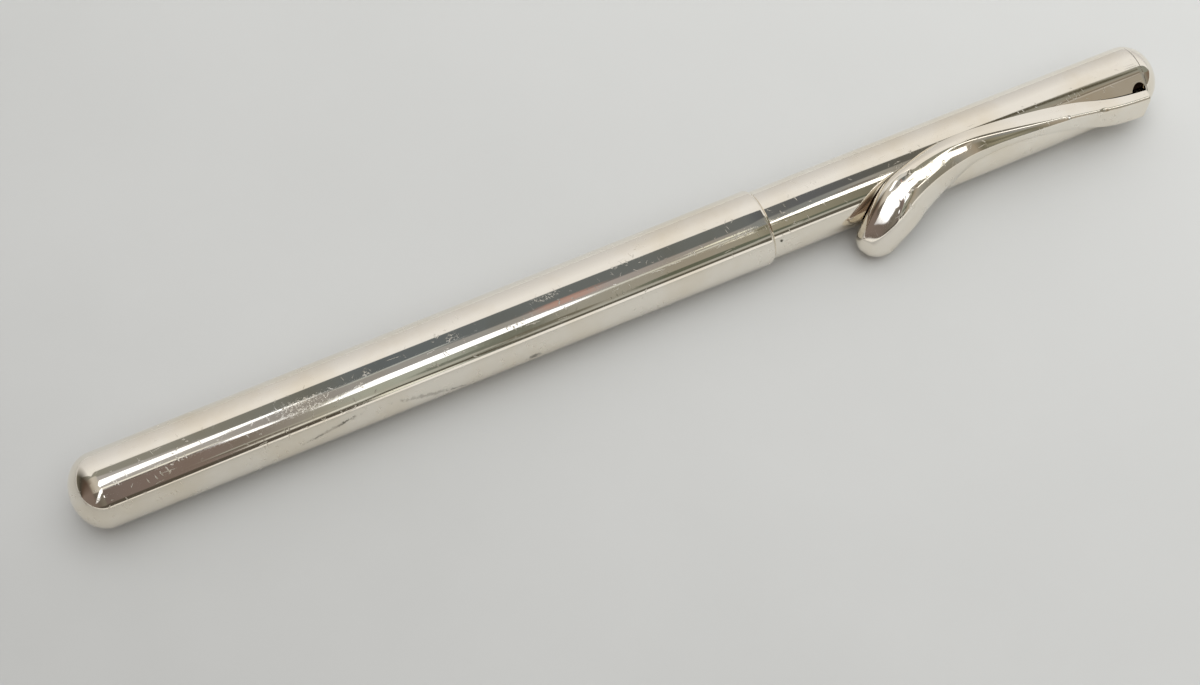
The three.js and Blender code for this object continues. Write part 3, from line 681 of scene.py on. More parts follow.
def ring_angles(squareness):
    """Angles that spread the ring's points evenly round the section, also when it is boxy."""
    fine = np.linspace(0, 2 * np.pi, CLIP_FINENESS * CLIP_SIDES + 1)
    wide = signed_power(np.cos(fine), 2 / squareness)
    deep = signed_power(np.sin(fine), 2 / squareness)
    run = np.concatenate([[0], np.cumsum(np.hypot(np.diff(wide), np.diff(deep)))])
    return np.interp(np.arange(CLIP_SIDES) * run[-1] / CLIP_SIDES, run, fine)


def clip_end(centre, tangent, section, reach):
    """Rings that round off one end, from the full section outwards, and the pole."""
    rings = []
    for i in range(1, CLIP_END_STEPS):
        angle = math.pi / 2 * i / CLIP_END_STEPS
        rings.append(clip_ring(centre + tangent * reach * math.sin(angle),
                               tangent, section, math.cos(angle)))
    return rings, centre + tangent * reach


def clip_bar():
    """The whole clip, before the cap's room is cut from it."""
    centres, sections = [], []
    for along, sweep, face, lift, width, thickness, squareness in CLIP_STATIONS:
        centres.append(clip_centre(along, sweep, lift))
        half_width = CLIP_HALF_WIDTH * CLIP_FIT * width
        half_thickness = CLIP_HALF_THICKNESS * CLIP_FIT * thickness
        facet = np.interp(along, *zip(*FACET_SHARE))
        facet_angle = np.interp(along, *zip(*FACET_ANGLE))
        sections.append((half_width, half_thickness, face, squareness, facet, facet_angle))
    shares = np.linspace(0, 1, CLIP_SAMPLES + 1)
    path = smooth_curve(centres, shares)
    forms = smooth_curve(sections, shares)
    tangents = np.gradient(path, axis=0)
    tangents /= np.linalg.norm(tangents, axis=1)[:, None]
    rings = [clip_ring(place, way, form, 1) for place, way, form in zip(path, tangents, forms)]
    root, root_pole = clip_end(path[0], tangents[0], forms[0], -CLIP_ROOT_ROUNDING)
    tip, tip_pole = clip_end(path[-1], tangents[-1], forms[-1], CLIP_TIP_ROUNDING)
    return loft("pocket_clip", root[::-1] + rings + tip, root_pole, tip_pole)


def cap_envelope():
    """The room that the clip leaves for the cap."""
    skin = [(station, cap_radius(station) + CLIP_GAP) for station in cap_stations]
    far = cap_end + CAP_DOME
    ends = [(far, CAP_END_RADIUS + CLIP_GAP), (far, 0)]
    return lathe("cap_envelope", [(cap_start, 0), *skin, *ends])


def pocket_clip():
    """The wave-shaped clip."""
    clip = cut(clip_bar(), cap_envelope())
    finished(clip, "clip_arm", "silver", "clip")


LUG_THICKNESS = 1.1
LUG_WIDTH = 3.0
LUG_LOW = -2.2
LUG_REAR_SPACE = 0.25
LUG_BEVEL = 0.12
LUG_BEVEL_STEPS = 4


def clip_lug():
    """The lug under the clip's root, which turns on the pin inside the cap."""
    start = cap_seam - SLOT_TO_SEAM - SLOT_LENGTH + LUG_REAR_SPACE
    end = start + LUG_THICKNESS
    near, far, side = start + LUG_BEVEL, end - LUG_BEVEL, LUG_WIDTH / 2 - LUG_BEVEL
    outline = []
    for x, y, first in ((far, side, 0), (near, side, 90), (near, -side, 180), (far, -side, 270)):
        outline += arc((x, y), LUG_BEVEL, LUG_BEVEL, first, first + 90, LUG_BEVEL_STEPS)
    lug = bar("clip_lug", outline, LUG_LOW, CAP_END_RADIUS + 2 * CLIP_GAP)
    finished(lug, "clip_arm", "silver")


# Section, nose and point

SECTION_SEGMENTS = 96
SECTION_RADIUS = 3.3
SECTION_BORE = 2.95
EDGE = 0.06
COLLAR_RADIUS = 3.55
COLLAR_LENGTH = 2.15
COLLAR_INSET = 0.1
GROOVE_RADIUS = 3.12
GROOVE_WIDTH = 0.4
RING_WIRE = 0.14
RING_CLEARANCE = 0.02
RING_SIDES = 16
WASHER_CLEARANCE = 0.1
THREAD_PITCH = 0.75
THREAD_DEPTH = 0.2
THREAD_STEEPNESS = 3
THREAD_CREST = 0.25
THREAD_RUNOUT = 0.6
THREAD_SPACING = 0.05
NOSE_STRAIGHT = 2.0
NOSE_SHOULDER_RADIUS = 1.8
NOSE_END_RADIUS = 1.55
NOSE_END_ROUNDING = 0.8
NOSE_STEPS = 8
TIP_BORE = 1.22
TIP_BORE_LENGTH = 2.0
TIP_CAVITY_LENGTH = 9.8
TIP_CAVITY_EXTRA = 0.4


def section_tube():
    """The tube that screws into the barrel: thread, collar, grip and catch groove."""
    start, end = span("grip_section")
    ring_start, ring_end = span("catch_ring")
    collar_end = span("barrel_shell")[1] - COLLAR_INSET
    collar_start = collar_end - COLLAR_LENGTH
    thread_end = collar_start - THREAD_RUNOUT
    groove_start = (ring_start + ring_end - GROOVE_WIDTH) / 2
    groove_end = groove_start + GROOVE_WIDTH

    def thread(station, radius, turn):
        if radius < SECTION_RADIUS or not start + EDGE < station < thread_end:
            return 0
        wave = (station / THREAD_PITCH - turn) % 1
        return THREAD_DEPTH * min(1, max(0, THREAD_STEEPNESS * abs(wave - 0.5) - THREAD_CREST))

    spigot = [(x, SECTION_RADIUS) for x in np.arange(start + EDGE, thread_end, THREAD_SPACING)]
    profile = [
        (start, SECTION_BORE),
        (start, SECTION_RADIUS - EDGE),
        *spigot,
        (collar_start, SECTION_RADIUS),
        (collar_start, COLLAR_RADIUS - EDGE),
        (collar_start + EDGE, COLLAR_RADIUS),
        (collar_end - EDGE, COLLAR_RADIUS),
        (collar_end, COLLAR_RADIUS - EDGE),
        (collar_end, SECTION_RADIUS),
        (groove_start, SECTION_RADIUS),
        (groove_start, GROOVE_RADIUS),
        (groove_end, GROOVE_RADIUS),
        (groove_end, SECTION_RADIUS),
        (end - EDGE / 2, SECTION_RADIUS),
        (end, SECTION_RADIUS - EDGE / 2),
        (end, SECTION_BORE),
    ]
    tube = lathe("section_tube", profile, SECTION_SEGMENTS, groove=thread)
    finished(tube, "section", "section_silver", "grip_section")


def nose():
    """The tapered nose, hollow for the refill, with a rounded end."""
    start, end = span("nose_cone")
    rounding = arc((end - NOSE_END_ROUNDING, NOSE_END_RADIUS), NOSE_END_ROUNDING,
                   NOSE_SHOULDER_RADIUS - NOSE_END_RADIUS, 90, 0, NOSE_STEPS)
    profile = [
        (start, SECTION_BORE),
        (start, SECTION_RADIUS - EDGE / 2),
        (start + EDGE / 2, SECTION_RADIUS),
        (start + NOSE_STRAIGHT, SECTION_RADIUS),
        *rounding,
        (end, TIP_BORE),
        (end - TIP_BORE_LENGTH, TIP_BORE),
        (end - TIP_CAVITY_LENGTH, TIP_BORE + TIP_CAVITY_EXTRA),
    ]
    finished(lathe("nose_tube", profile), "section", "section_silver", "nose_cone")


def catch():
    """The sprung wire ring that clicks into the cap's sleeve."""
    start, end = span("catch_ring")
    centre = ((start + end) / 2, GROOVE_RADIUS + RING_CLEARANCE + RING_WIRE)
    profile = arc(centre, RING_WIRE, RING_WIRE, 0, 360, RING_SIDES)[:-1]
    finished(lathe("snap_ring", profile), "catch", "spring_steel", "catch_ring")


def washer():
    """The thin washer between the barrel's bush and the section's collar."""
    start, end = span("mouth_washer")
    inner = SECTION_RADIUS + WASHER_CLEARANCE
    profile = [(start, inner), (start, COLLAR_RADIUS), (end, COLLAR_RADIUS), (end, inner)]
    finished(lathe("seat_washer", profile), "washer", "steel", "mouth_washer")


POINT_RADIUS = 1.17
POINT_CONE = 2.05
POINT_END_RADIUS = 0.66
POINT_BORE = 0.52
POINT_BEVEL = 0.02
POINT_BEVEL_LENGTH = 0.1
POINT_END_LENGTH = 0.12
BALL_RADIUS = 0.5
BALL_FIT = 0.97
BALL_STEPS = 16
BALL_LIP = 0.46
BALL_LIP_LENGTH = 0.15
INK_CHANNEL = 0.3


def refill_point():
    """The refill's brass point, bored for the ink and seated for the ball."""
    start, end = span("refill_tip")
    ball_centre = span("writing_ball")[1] - BALL_RADIUS
    profile = [
        (start, INK_CHANNEL),
        (start, POINT_RADIUS),
        (end - POINT_CONE - POINT_BEVEL_LENGTH, POINT_RADIUS),
        (end - POINT_CONE, POINT_RADIUS - POINT_BEVEL),
        (end - POINT_END_LENGTH, POINT_END_RADIUS + POINT_BEVEL),
        (end, POINT_END_RADIUS - POINT_BEVEL_LENGTH),
        (end, BALL_LIP),
        (end - BALL_LIP_LENGTH, POINT_BORE),
        (ball_centre - POINT_BORE, POINT_BORE),
        (ball_centre - POINT_BORE, INK_CHANNEL),
    ]
    point = lathe("refill_point", profile, SMALL_SEGMENTS)
    finished(point, "refill", "brass", "refill_tip")


def rolling_ball():
    """The writing ball in its seat."""
    start, end = span("writing_ball")
    centre, radius = (start + end) / 2, (end - start) / 2
    half = quarter(centre, -radius, radius, BALL_STEPS)
    profile = half + [(2 * centre - x, r) for x, r in half[-2::-1]]
    ball = lathe("rolling_ball", profile, SMALL_SEGMENTS, fit=BALL_FIT)
    finished(ball, "ball", "carbide", "writing_ball")


CLUTCH_BORE = 3.46
CLUTCH_RADIUS = 3.75
CLUTCH_SLOT = 0.6
CLUTCH_SLOT_LENGTH = 8.0
CLUTCH_SLOT_TURNS = (45, 135, 225, 315)


def clutch():
    """The split sleeve inside the cap's mouth that the catch ring clicks into."""
    start, end = span("clutch_sleeve")
    profile = [
        (start, CLUTCH_BORE + EDGE), (start, CLUTCH_RADIUS), (end, CLUTCH_RADIUS),
        (end, CLUTCH_BORE), (start + EDGE, CLUTCH_BORE),
    ]
    sleeve = lathe("spring_clutch", profile)
    outline = [
        (end - CLUTCH_SLOT_LENGTH, -CLUTCH_SLOT / 2), (end + 1, -CLUTCH_SLOT / 2),
        (end + 1, CLUTCH_SLOT / 2), (end - CLUTCH_SLOT_LENGTH, CLUTCH_SLOT / 2),
    ]
    slots = [bar("clutch_slot", outline, 0, CAP_END_RADIUS, turn) for turn in CLUTCH_SLOT_TURNS]
    finished(cut(sleeve, *slots), "cap", "brass", "clutch_sleeve")


# Floor, world and camera

FLOOR_SIZE = 3.0
# The way across the table in which it gets brighter: painted light, standing in for the fall-off of
# the lamp's light
FLOOR_PAINTED_LIGHT_WAY = (0.83, 0.56, 0)
FLOOR_PAINTED_LIGHT_REACH = 110
FLOOR_GRAIN = 0.02


def floor_material():
    """A pale grey table top with a faint cloud in it, painted darker to brighter across it as
    painted light.
    """
    tree = Tree(bpy.data.materials.new("pale_table"))
    place = tree.add("TexCoord").outputs["Object"]
    local = tree.scaled(place, (1 / MM,) * 3)
    cloud = tree.fit(tree.noise(local, 0.02, detail=5.0, roughness=0.55), 0.3, 0.7, 0, 1)
    # Painted light: the colour runs from darker to brighter across the table, in place of the
    # light's fall-off.
    painted_light_slope = tree.add("VectorMath", {0: local, 1: FLOOR_PAINTED_LIGHT_WAY},
                     operation="DOT_PRODUCT").outputs["Value"]
    colour = tree.mix(tree.fit(painted_light_slope, -FLOOR_PAINTED_LIGHT_REACH, FLOOR_PAINTED_LIGHT_REACH, 0, 1),
                      linear(178, 178, 176), linear(222, 223, 221))
    colour = tree.mix(tree.times(cloud, 0.12), colour, linear(236, 236, 235))
    height = tree.times(tree.noise(local, 0.8, detail=3.0), FLOOR_GRAIN)
    return tree.skin(colour, 0.6, height, strength=0.3)


def table():
    """The table top that the pen lies on."""
    mesh = bpy.data.meshes.new("table_top")
    half = FLOOR_SIZE / 2
    corners = [(x * half, y * half, 0) for x, y in ((-1, -1), (1, -1), (1, 1), (-1, 1))]
    mesh.from_pydata(corners, [], [[0, 1, 2, 3]])
    mesh.materials.append(floor_material())
    placed("table_top", mesh)


SILVER = (243, 237, 226)
SILVER_TARNISH = (228, 214, 188)


def shown(red, green, blue, strength=1.0):
    """The light of a surface in the room that the silver shows as this display colour."""
    wanted = linear(red, green, blue)
    metal = linear(*SILVER)
    return (*[strength * w / m for w, m in zip(wanted[:3], metal[:3])], 1)


def level(rise, start, end, fall, half):
    """Half heights by reach: one value from start to end, run out to the rise and the fall."""
    return [(rise, 0), (start, half), (end, half), (fall, 0)]


# The room that the silver mirrors. A height is an angle round the pen's axis in degrees:
# 0 is the near horizon, 90 is overhead and 180 is the far horizon.
# A reach is a direction's share along the pen: -1 is towards its rear end, 1 towards its cap.
# Each stop has a height or a reach, and a height or a display colour that the silver shows there.
HORIZON = [(-1, 3), (0.03, 4), (0.1, 6), (0.13, 6), (0.17, 8), (0.3, 8), (0.36, 6), (1, 5)]
CEILING = [
    (85, (230, 223, 210)), (125, (230, 223, 211)), (150, (213, 206, 195)), (180, (198, 192, 182)),
    (250, (190, 184, 172)), (345, (176, 170, 158)), (360, (196, 190, 175)),
]
CEILING_EDGE = [
    (-1, 165), (-0.6, 125), (-0.35, 110), (-0.1, 116), (0, 117), (0.05, 114), (0.11, 113),
    (0.19, 111), (0.25, 108), (0.31, 105.5), (0.34, 104.5), (0.38, 100.5), (0.42, 98),
    (0.45, 94.5), (0.47, 92), (0.49, 87.5), (0.54, 84), (0.6, 89), (0.7, 88), (0.8, 90), (1, 98),
]
DARK_GAP = [
    (-0.05, (140, 136, 122)), (0.03, (134, 130, 118)), (0.07, (122, 120, 110)),
    (0.1, (108, 108, 101)), (0.13, (94, 98, 98)), (0.2, (100, 102, 98)), (0.3, (104, 105, 100)),
    (0.33, (92, 92, 92)), (0.38, (92, 90, 82)), (0.42, (112, 106, 94)), (0.45, (142, 137, 121)),
    (1, (132, 130, 115)),
]
DARK_GAP_LOW = [
    (-1, 112), (-0.02, 100), (0.03, 93), (0.06, 86), (0.1, 82), (0.12, 79), (0.17, 78),
    (0.2, 75), (0.3, 73), (0.34, 79), (0.38, 79), (0.45, 75), (1, 55),
]
UPPER_WALL = [
    (-0.8, (110, 98, 84)), (-0.6, (160, 149, 132)), (-0.35, (190, 180, 164)),
    (-0.1, (188, 180, 166)), (-0.05, (172, 165, 159)), (0.05, (165, 160, 152)),
    (0.08, (146, 140, 133)), (0.2, (150, 147, 138)), (0.22, (160, 150, 142)),
    (0.3, (148, 142, 132)), (0.315, (126, 126, 120)), (0.34, (128, 128, 122)),
    (0.36, (150, 145, 135)), (0.44, (146, 139, 123)), (0.5, (150, 139, 122)), (1, (132, 130, 115)),
]
LOWER_WALL = [
    (-1, (104, 90, 80)), (-0.6, (100, 90, 79)), (-0.2, (118, 110, 97)), (-0.03, (108, 96, 88)),
    (0.02, (120, 105, 97)), (0.05, (122, 107, 97)), (0.065, (118, 107, 95)),
    (0.09, (145, 138, 128)), (0.12, (162, 162, 146)), (0.17, (158, 158, 142)),
    (0.18, (112, 113, 98)), (0.205, (112, 111, 97)), (0.22, (150, 145, 130)),
    (0.29, (150, 142, 126)), (0.31, (146, 139, 118)), (0.34, (132, 126, 106)),
    (0.37, (112, 107, 90)), (0.44, (155, 142, 122)), (0.55, (158, 150, 134)),
    (0.7, (138, 134, 122)), (0.8, (130, 124, 108)), (1, (116, 96, 78)),
]
# Its fourth number is how much brighter it is than that colour.
LAMP = (255, 253, 248, 1.5)
WINDOW_LINE = (238, 232, 216)
WARM_CURTAIN = (180, 138, 120)
FAR_LEFT = [
    (5, (118, 104, 94)), (60, (120, 104, 92)), (105, (84, 68, 56)), (140, (66, 60, 50)),
    (170, (100, 94, 80)), (180, (160, 152, 138)),
]
# What only the camera sees
BACKDROP = linear(214, 215, 213)
WORLD_STRENGTH = 1.0
FULL_TURN = 360
# An upper edge past every height
NO_TOP = 400
WALL_SPLIT = 58
CURTAIN_HEIGHTS = (64, 76)
CURTAIN_REACHES = (0.212, 0.23)
FAR_LEFT_HEIGHTS = (8, 172)
FAR_LEFT_LIT_HEIGHTS = (40, 88)
# Ramps by reach are finest where the barrel and the cap mirror the room.
REACH_KNOTS = [-1, -0.1, 0.55, 1]
KNOT_SHARES = [0, 0.15, 0.85, 1]

# Lines along the pen: what it mirrors of shelves, frames, sills and the table's edge.
# Each has its heights by reach, its half heights by reach, its soft edge and its colour.
LINES = [
    # the window's frame and sill, far to the left
    ([(-0.02, 57.5), (0.05, 57)], level(-0.01, 0, 0.045, 0.05, 1), 1, (98, 86, 78)),
    ([(-0.2, 61.5), (0.05, 61)], [(-0.1, 0), (-0.04, 1.6), (0.045, 1.3), (0.055, 0)],
     1, WINDOW_LINE),
    ([(-0.1, 38)], level(-0.1, -0.085, -0.06, -0.05, 3), 1.5, LAMP),
    ([(0.112, 76.5), (0.166, 80)], level(0.108, 0.114, 0.16, 0.17, 1), 1.5, (172, 172, 162)),
    # shelves
    ([(0.05, 27)], level(0.045, 0.055, 0.115, 0.125, 1.2), 1.5, (160, 155, 140)),
    ([(0.05, 24)], level(0.045, 0.055, 0.08, 0.09, 1), 1.5, (100, 92, 80)),
    ([(0.15, 29)], level(0.145, 0.155, 0.18, 0.195, 3), 2, (112, 113, 99)),
    ([(0.15, 22.5)], level(0.125, 0.135, 0.18, 0.195, 1.5), 1.5, (166, 161, 146)),
    ([(0.2, 25)], level(0.185, 0.195, 0.22, 0.235, 3), 2, (106, 101, 86)),
    ([(0.26, 25), (0.31, 24.5)],
     [(0.25, 0), (0.262, 4.5), (0.3, 4.5), (0.312, 2.7), (0.352, 2.7), (0.37, 0)],
     1.5, (94, 96, 80)),
    ([(0.066, 17.2), (0.12, 19.5)], [(0.062, 0), (0.07, 1.3), (0.12, 1.8), (0.126, 0)],
     1, (218, 213, 198)),
    ([(0.19, 16.5), (0.3, 17), (0.312, 18.5)], [(0.185, 0), (0.2, 2.2), (0.35, 2.4), (0.37, 0)],
     1.5, (164, 160, 146)),
    # the table's edge
    ([(-0.3, 7), (0.01, 8), (0.05, 9), (0.12, 10)],
     [(-0.6, 0), (-0.1, 3), (0.01, 4), (0.05, 3.5), (0.12, 3.5), (0.13, 0)],
     3, (80, 73, 63)),
    ([(0.13, 14.8)], level(0.122, 0.13, 0.18, 0.195, 2.2), 1, (84, 77, 64)),
    ([(0.13, 10)], [(0.124, 0), (0.13, 2.8), (0.15, 2.4), (0.162, 1.2), (0.17, 0)],
     0.8, (228, 223, 203)),
    ([(0.19, 11)], [(0.18, 0), (0.195, 2), (0.31, 2), (0.33, 4), (0.352, 4), (0.38, 0)],
     1.5, (88, 83, 71)),
    # over the cap
    ([(0.31, 49), (0.36, 53)], level(0.3, 0.312, 0.365, 0.38, 1.6), 1, (108, 103, 84)),
    ([(0.35, 66.5)], level(0.345, 0.352, 0.364, 0.37, 1.6), 1, (116, 106, 96)),
    ([(0.42, 94), (0.45, 88), (0.485, 78.5), (0.52, 70)],
     level(0.4, 0.43, 0.48, 0.5, 3.2), 2, (84, 78, 63)),
    ([(0.45, 64.5)], level(0.44, 0.46, 0.52, 0.6, 1.2), 1.5, (122, 112, 96)),
    ([(0.45, 60)], level(0.44, 0.455, 0.48, 0.5, 1.6), 1.5, (176, 166, 150)),
]
# Lamps, given as the lines are.
LAMPS = [
    ([(-0.1, 74), (-0.02, 77.5), (0.01, 79.5), (0.09, 81)],
     [(-0.17, 0), (-0.1, 6), (-0.02, 8), (0.01, 6), (0.05, 4), (0.07, 2.4), (0.09, 0.8),
      (0.105, 0)], 1.5, LAMP),
    ([(-0.7, 20), (-0.6, 28), (-0.4, 43), (-0.2, 54), (-0.04, 60)],
     [(-0.72, 0), (-0.62, 3), (-0.5, 5), (-0.2, 5), (-0.06, 4), (-0.03, 0)], 1.5, LAMP),
    ([(0.055, 57), (0.08, 54)], [(0.054, 0), (0.058, 2), (0.068, 3.4), (0.078, 2.4), (0.083, 0)],
     0.8, LAMP),
    ([(0.105, 47.5), (0.118, 51), (0.13, 53), (0.218, 53.5), (0.3, 54.5)],
     [(0.103, 0), (0.106, 1.2), (0.118, 5.3), (0.13, 6.8), (0.17, 6.5), (0.19, 6), (0.206, 5),
      (0.218, 3.5), (0.232, 0.8), (0.24, 0)], 1, LAMP),
    ([(0.23, 54)], level(0.228, 0.235, 0.3, 0.31, 1.5), 1.5, (196, 192, 176)),
    ([(0.28, 61), (0.31, 61)], [(0.278, 0), (0.29, 1.6), (0.306, 1.8), (0.312, 0)],
     1, (236, 231, 206)),
    ([(0.295, 48.5)], level(0.294, 0.302, 0.31, 0.312, 2), 1, (236, 229, 206)),
]


class Room(Tree):
    """The world's tree, with ways to paint layers over its light by height and reach."""

    def __init__(self, world):
        super().__init__(world)
        direction = self.add("TexCoord").outputs["Generated"]
        self.reach, across, up = self.add("SeparateXYZ", {0: direction}).outputs
        near = self.times(across, -1.0)
        turn = self.math("DIVIDE", self.math("ARCTAN2", up, near), 2 * math.pi)
        self.share = self.math("FRACT", self.math("ADD", turn, 1.0))
        self.height = self.times(self.share, FULL_TURN)
        self.reach_share = total(self, [
            self.fit(self.reach, low, high, 0, share_high - share_low)
            for low, high, share_low, share_high
            in zip(REACH_KNOTS, REACH_KNOTS[1:], KNOT_SHARES, KNOT_SHARES[1:])
        ])
        self.colour = None

    def by_height(self, stops):
        """A colour that changes with the height."""
        return self.ramp(self.share, [(h / FULL_TURN, shown(*colour)) for h, colour in stops])

    def reach_ramp(self, stops):
        return self.ramp(self.reach_share, [
            (float(np.interp(reach, REACH_KNOTS, KNOT_SHARES)), value) for reach, value in stops])

    def by_reach(self, stops):
        """A colour that changes with the reach."""
        return self.reach_ramp([(reach, shown(*colour)) for reach, colour in stops])

    def line(self, stops):
        """A height that changes with the reach."""
        shares = self.reach_ramp([(reach, height / FULL_TURN) for reach, height in stops])
        return self.times(shares, FULL_TURN)

    def above(self, height, soft):
        """1 above a height and 0 below it."""
        return self.band(self.height, height, NO_TOP, soft)

    def paint(self, mask, colour, strength=1.0):
        """Lays a colour over what is there, where the mask is 1."""
        share = self.times(mask, strength)
        self.colour = self.mix(share, self.colour, colour)

    def stripe(self, middle, half, soft, colour):
        """A band along the pen whose middle and half height, in degrees, change with the reach."""
        centre, size = self.line(middle), self.line(half)
        low = self.math("SUBTRACT", centre, size)
        high = self.math("ADD", centre, size)
        present = self.fit(size, 0, 0.5, 0, 1)
        mask = self.times(self.band(self.height, low, high, soft), present)
        self.paint(mask, shown(*colour))


def paint_walls(room):
    """The lower wall, the upper wall, the dark gap over it and a curtain."""
    room.colour = room.by_reach(LOWER_WALL)
    room.paint(room.above(WALL_SPLIT, 3), room.by_reach(UPPER_WALL))
    room.paint(room.above(room.line(DARK_GAP_LOW), 3), room.by_reach(DARK_GAP))
    curtain = room.times(room.band(room.height, *CURTAIN_HEIGHTS, 4),
                         room.band(room.reach, *CURTAIN_REACHES, 0.008))
    room.paint(curtain, shown(*WARM_CURTAIN), 0.75)


def paint_far_left(room):
    """The room past the pen's rear end, darker but for its lit part nearer the pen."""
    far_left = room.times(room.fit(room.reach, -0.75, -0.45, 1, 0),
                          room.band(room.height, *FAR_LEFT_HEIGHTS, 6))
    lit = room.times(room.band(room.height, *FAR_LEFT_LIT_HEIGHTS, 3),
                     room.fit(room.reach, -0.7, -0.6, 0, 1))
    unlit = room.math("SUBTRACT", 1, lit)
    room.paint(room.times(far_left, unlit), room.by_height(FAR_LEFT))


def room_light():
    """Soft studio light for the mirror: a pale room with lamps, shelves and a table's edge."""
    world = bpy.data.worlds.new("room")
    bpy.context.scene.world = world
    room = Room(world)
    paint_walls(room)
    for stripe in LINES + LAMPS:
        room.stripe(*stripe)
    room.paint(room.above(room.line(CEILING_EDGE), 2), room.by_height(CEILING))
    paint_far_left(room)
    horizon = room.line(HORIZON)
    under = room.fit(room.height, room.math("SUBTRACT", horizon, 1), horizon, 1, 0)
    room.paint(under, room.by_height(CEILING))
    seen = room.add("LightPath").outputs["Is Camera Ray"]
    colour = room.mix(seen, room.colour, BACKDROP)
    light = room.value("Background", {"Color": colour, "Strength": WORLD_STRENGTH})
    room.add("OutputWorld", {"Surface": light})


SOFTBOX_PLACE = Vector((0.12, -0.2, 1.0))
SOFTBOX_SIZE = 1.4
SOFTBOX_POWER = 9.0
SOFTBOX_COLOUR = (0.97, 0.985, 1.0)


def area_lamp(name, length, width, power):
    """A rectangular lamp, not yet in its place."""
    data = bpy.data.lights.new(name, "AREA")
    data.shape = "RECTANGLE"
    data.size = length
    data.size_y = width
    data.energy = power
    return placed(name, data)


def softbox():
    """The big soft lamp over the pen that lights the table."""
    lamp = area_lamp("softbox", SOFTBOX_SIZE, SOFTBOX_SIZE, SOFTBOX_POWER)
    lamp.data.shape = "SQUARE"
    lamp.data.color = SOFTBOX_COLOUR
    lamp.location = SOFTBOX_PLACE
    lamp.rotation_euler = SOFTBOX_PLACE.to_track_quat("Z", "Y").to_euler()
    lamp.visible_glossy = False


# What stands so close that only the piece beside it mirrors it. Each light has its two ends
# as (reach, height) seen from the clip, its height in degrees and how bright it looks.
NEAR_LIGHTS = {
    "window_strip": ("pocket_clip", (-0.06, 57.5), (0.25, 67.5), 6.5, 1.3),
    "window_strip_end": ("pocket_clip", (0.25, 67.5), (0.53, 74), 4.5, 1.3),
    "window_far": ("pocket_clip", (0.52, 74.5), (0.72, 69.5), 4, 1.3),
    "window_back": ("pocket_clip", (0.5, 57), (0.72, 67.5), 3.5, 1.2),
    "pale_card": ("pocket_clip", (-0.12, 94), (0.4, 94), 28, 0.42),
    "cap_strip": ("cap_body", (0.308, 53), (0.37, 60.5), 7, 1.5),
}
NEAR_LIGHT_DISTANCE = 1.0
POWER_PER_AREA = 4.0


def near_light(name, receiver, start, end, height, brightness):
    """A flat lamp between two directions, whose light falls on one piece alone."""
    low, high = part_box("clip")
    middle = (low + high) / 2
    ends = []
    for reach, angle in (start, end):
        side = math.sqrt(1 - reach ** 2)
        turn = math.radians(angle)
        ends.append(Vector((reach, -math.cos(turn) * side, math.sin(turn) * side)))
    away = (ends[0] + ends[1]).normalized()
    along = (ends[1] - ends[0]).normalized()
    length = (ends[1] - ends[0]).length * NEAR_LIGHT_DISTANCE
    width = 2 * math.tan(math.radians(height / 2)) * NEAR_LIGHT_DISTANCE
    lamp = area_lamp(name, length, width, POWER_PER_AREA * length * width * brightness)
    up = away.cross(along).normalized()
    turned = Matrix((along, up, away)).transposed()
    lamp.matrix_world = Matrix.Translation(middle + away * NEAR_LIGHT_DISTANCE) @ turned.to_4x4()
    lit = bpy.data.collections.new(name + "_receivers")
    lit.objects.link(bpy.data.objects[receiver])
    lamp.light_linking.receiver_collection = lit


def near_lights():
    """All the lamps whose light falls on one piece alone."""
    for name, place in NEAR_LIGHTS.items():
        near_light(name, *place)


CAMERA_AZIMUTH = math.radians(-25.77)
CAMERA_ELEVATION = math.radians(57.46)
CAMERA_DISTANCE = 242.2
CAMERA_TARGET = Vector((-8.47, -4.41, 4.53)) * MM
CAMERA_LENS = 66.0
SENSOR_WIDTH = 36
NEAREST_SEEN = 0.01


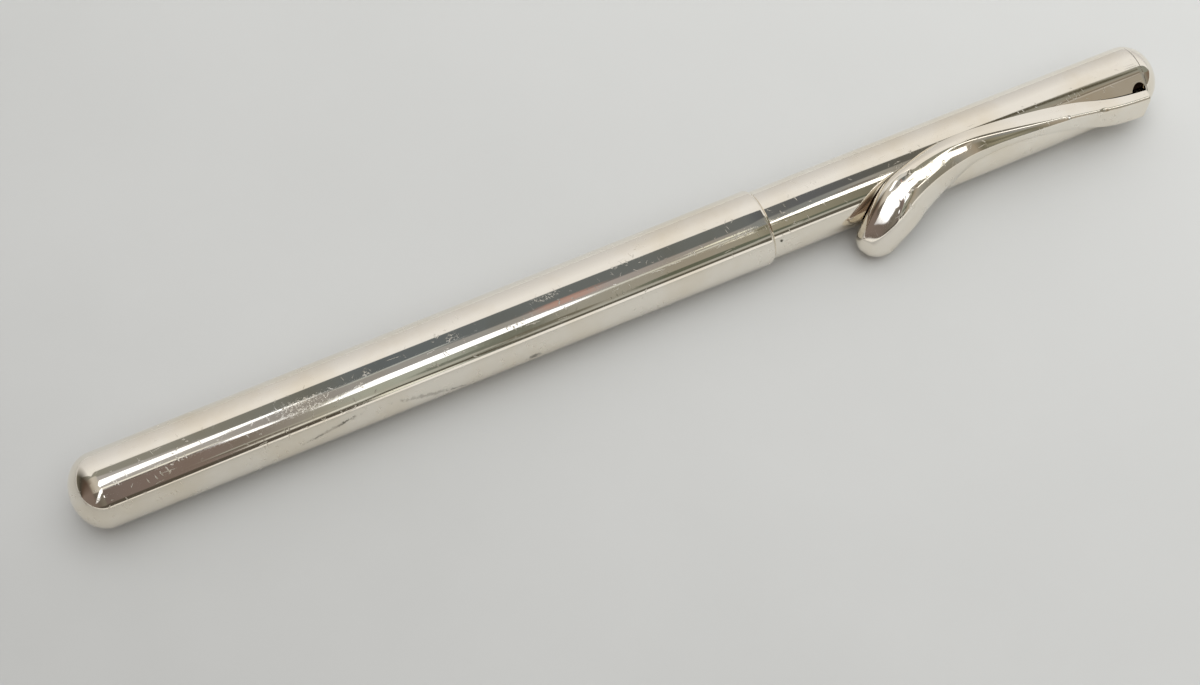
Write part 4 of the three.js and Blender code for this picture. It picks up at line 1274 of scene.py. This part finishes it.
def camera():
    """The photograph's view."""
    data = bpy.data.cameras.new("photo_camera")
    data.lens = CAMERA_LENS
    data.sensor_width = SENSOR_WIDTH
    data.clip_start = NEAREST_SEEN
    away = Vector((
        math.sin(CAMERA_AZIMUTH) * math.cos(CAMERA_ELEVATION),
        -math.cos(CAMERA_AZIMUTH) * math.cos(CAMERA_ELEVATION),
        math.sin(CAMERA_ELEVATION),
    ))
    view = placed("photo_camera", data)
    view.location = CAMERA_TARGET + away * CAMERA_DISTANCE * MM
    view.rotation_euler = away.to_track_quat("Z", "Y").to_euler()
    bpy.context.scene.camera = view
    bpy.context.scene.view_settings.view_transform = "Standard"


def dress_inner_nodes():
    """Materials for the CAD nodes that keep their own shape."""
    kept = {
        "brass": ("barrel_liner", "thread_bush", "rear_plug"),
        # The clip's block is painted near-black brass as painted shade, for the dark inside of the
        # cap's slot.
        "brass_in_painted_shade": ("clip_block",),
        "steel": ("refill_tube", "clip_pin"),
        "spring_steel": ("refill_spring", "clip_spring"),
        "black_plastic": ("refill_plug", "inner_cap"),
        "ink": ("ink_column",),
    }
    for material, names in kept.items():
        for name in names:
            dressed(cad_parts[name], material)


def make_materials():
    """Every material, by the name of its slot."""
    return {
        "silver": polished_metal("sterling_silver", SILVER, SILVER_TARNISH, 0.045, marked=True),
        "section_silver": polished_metal(
            "section_silver", (238, 232, 222), (214, 196, 164), 0.2, 1.4),
        "brass": turned_metal("brass", (214, 176, 108), (160, 118, 60), 0.32),
        # Near-black brass: painted shade for the clip's block, seen in the dark slot.
        "brass_in_painted_shade": turned_metal("brass_in_painted_shade", (46, 34, 26), (24, 18, 15), 0.5),
        "steel": turned_metal("steel", (200, 202, 205), (168, 164, 158), 0.24),
        "spring_steel": turned_metal("spring_steel", (170, 172, 175), (130, 126, 120), 0.3),
        "carbide": polished_metal("carbide", (150, 152, 156), (132, 132, 134), 0.1),
        "black_plastic": moulded_plastic("black_plastic", (26, 26, 28), (38, 38, 40), 0.45),
        "ink": ink("blue_ink"),
    }


def build():
    """The pen, the table, the light and the camera."""
    dress_inner_nodes()
    for make in (
        barrel_body, cap_body, cap_crown, pocket_clip, clip_lug, section_tube, nose, catch,
        washer, refill_point, rolling_ball, clutch, table, room_light, softbox, near_lights,
        camera,
    ):
        make()


materials = make_materials()
build()
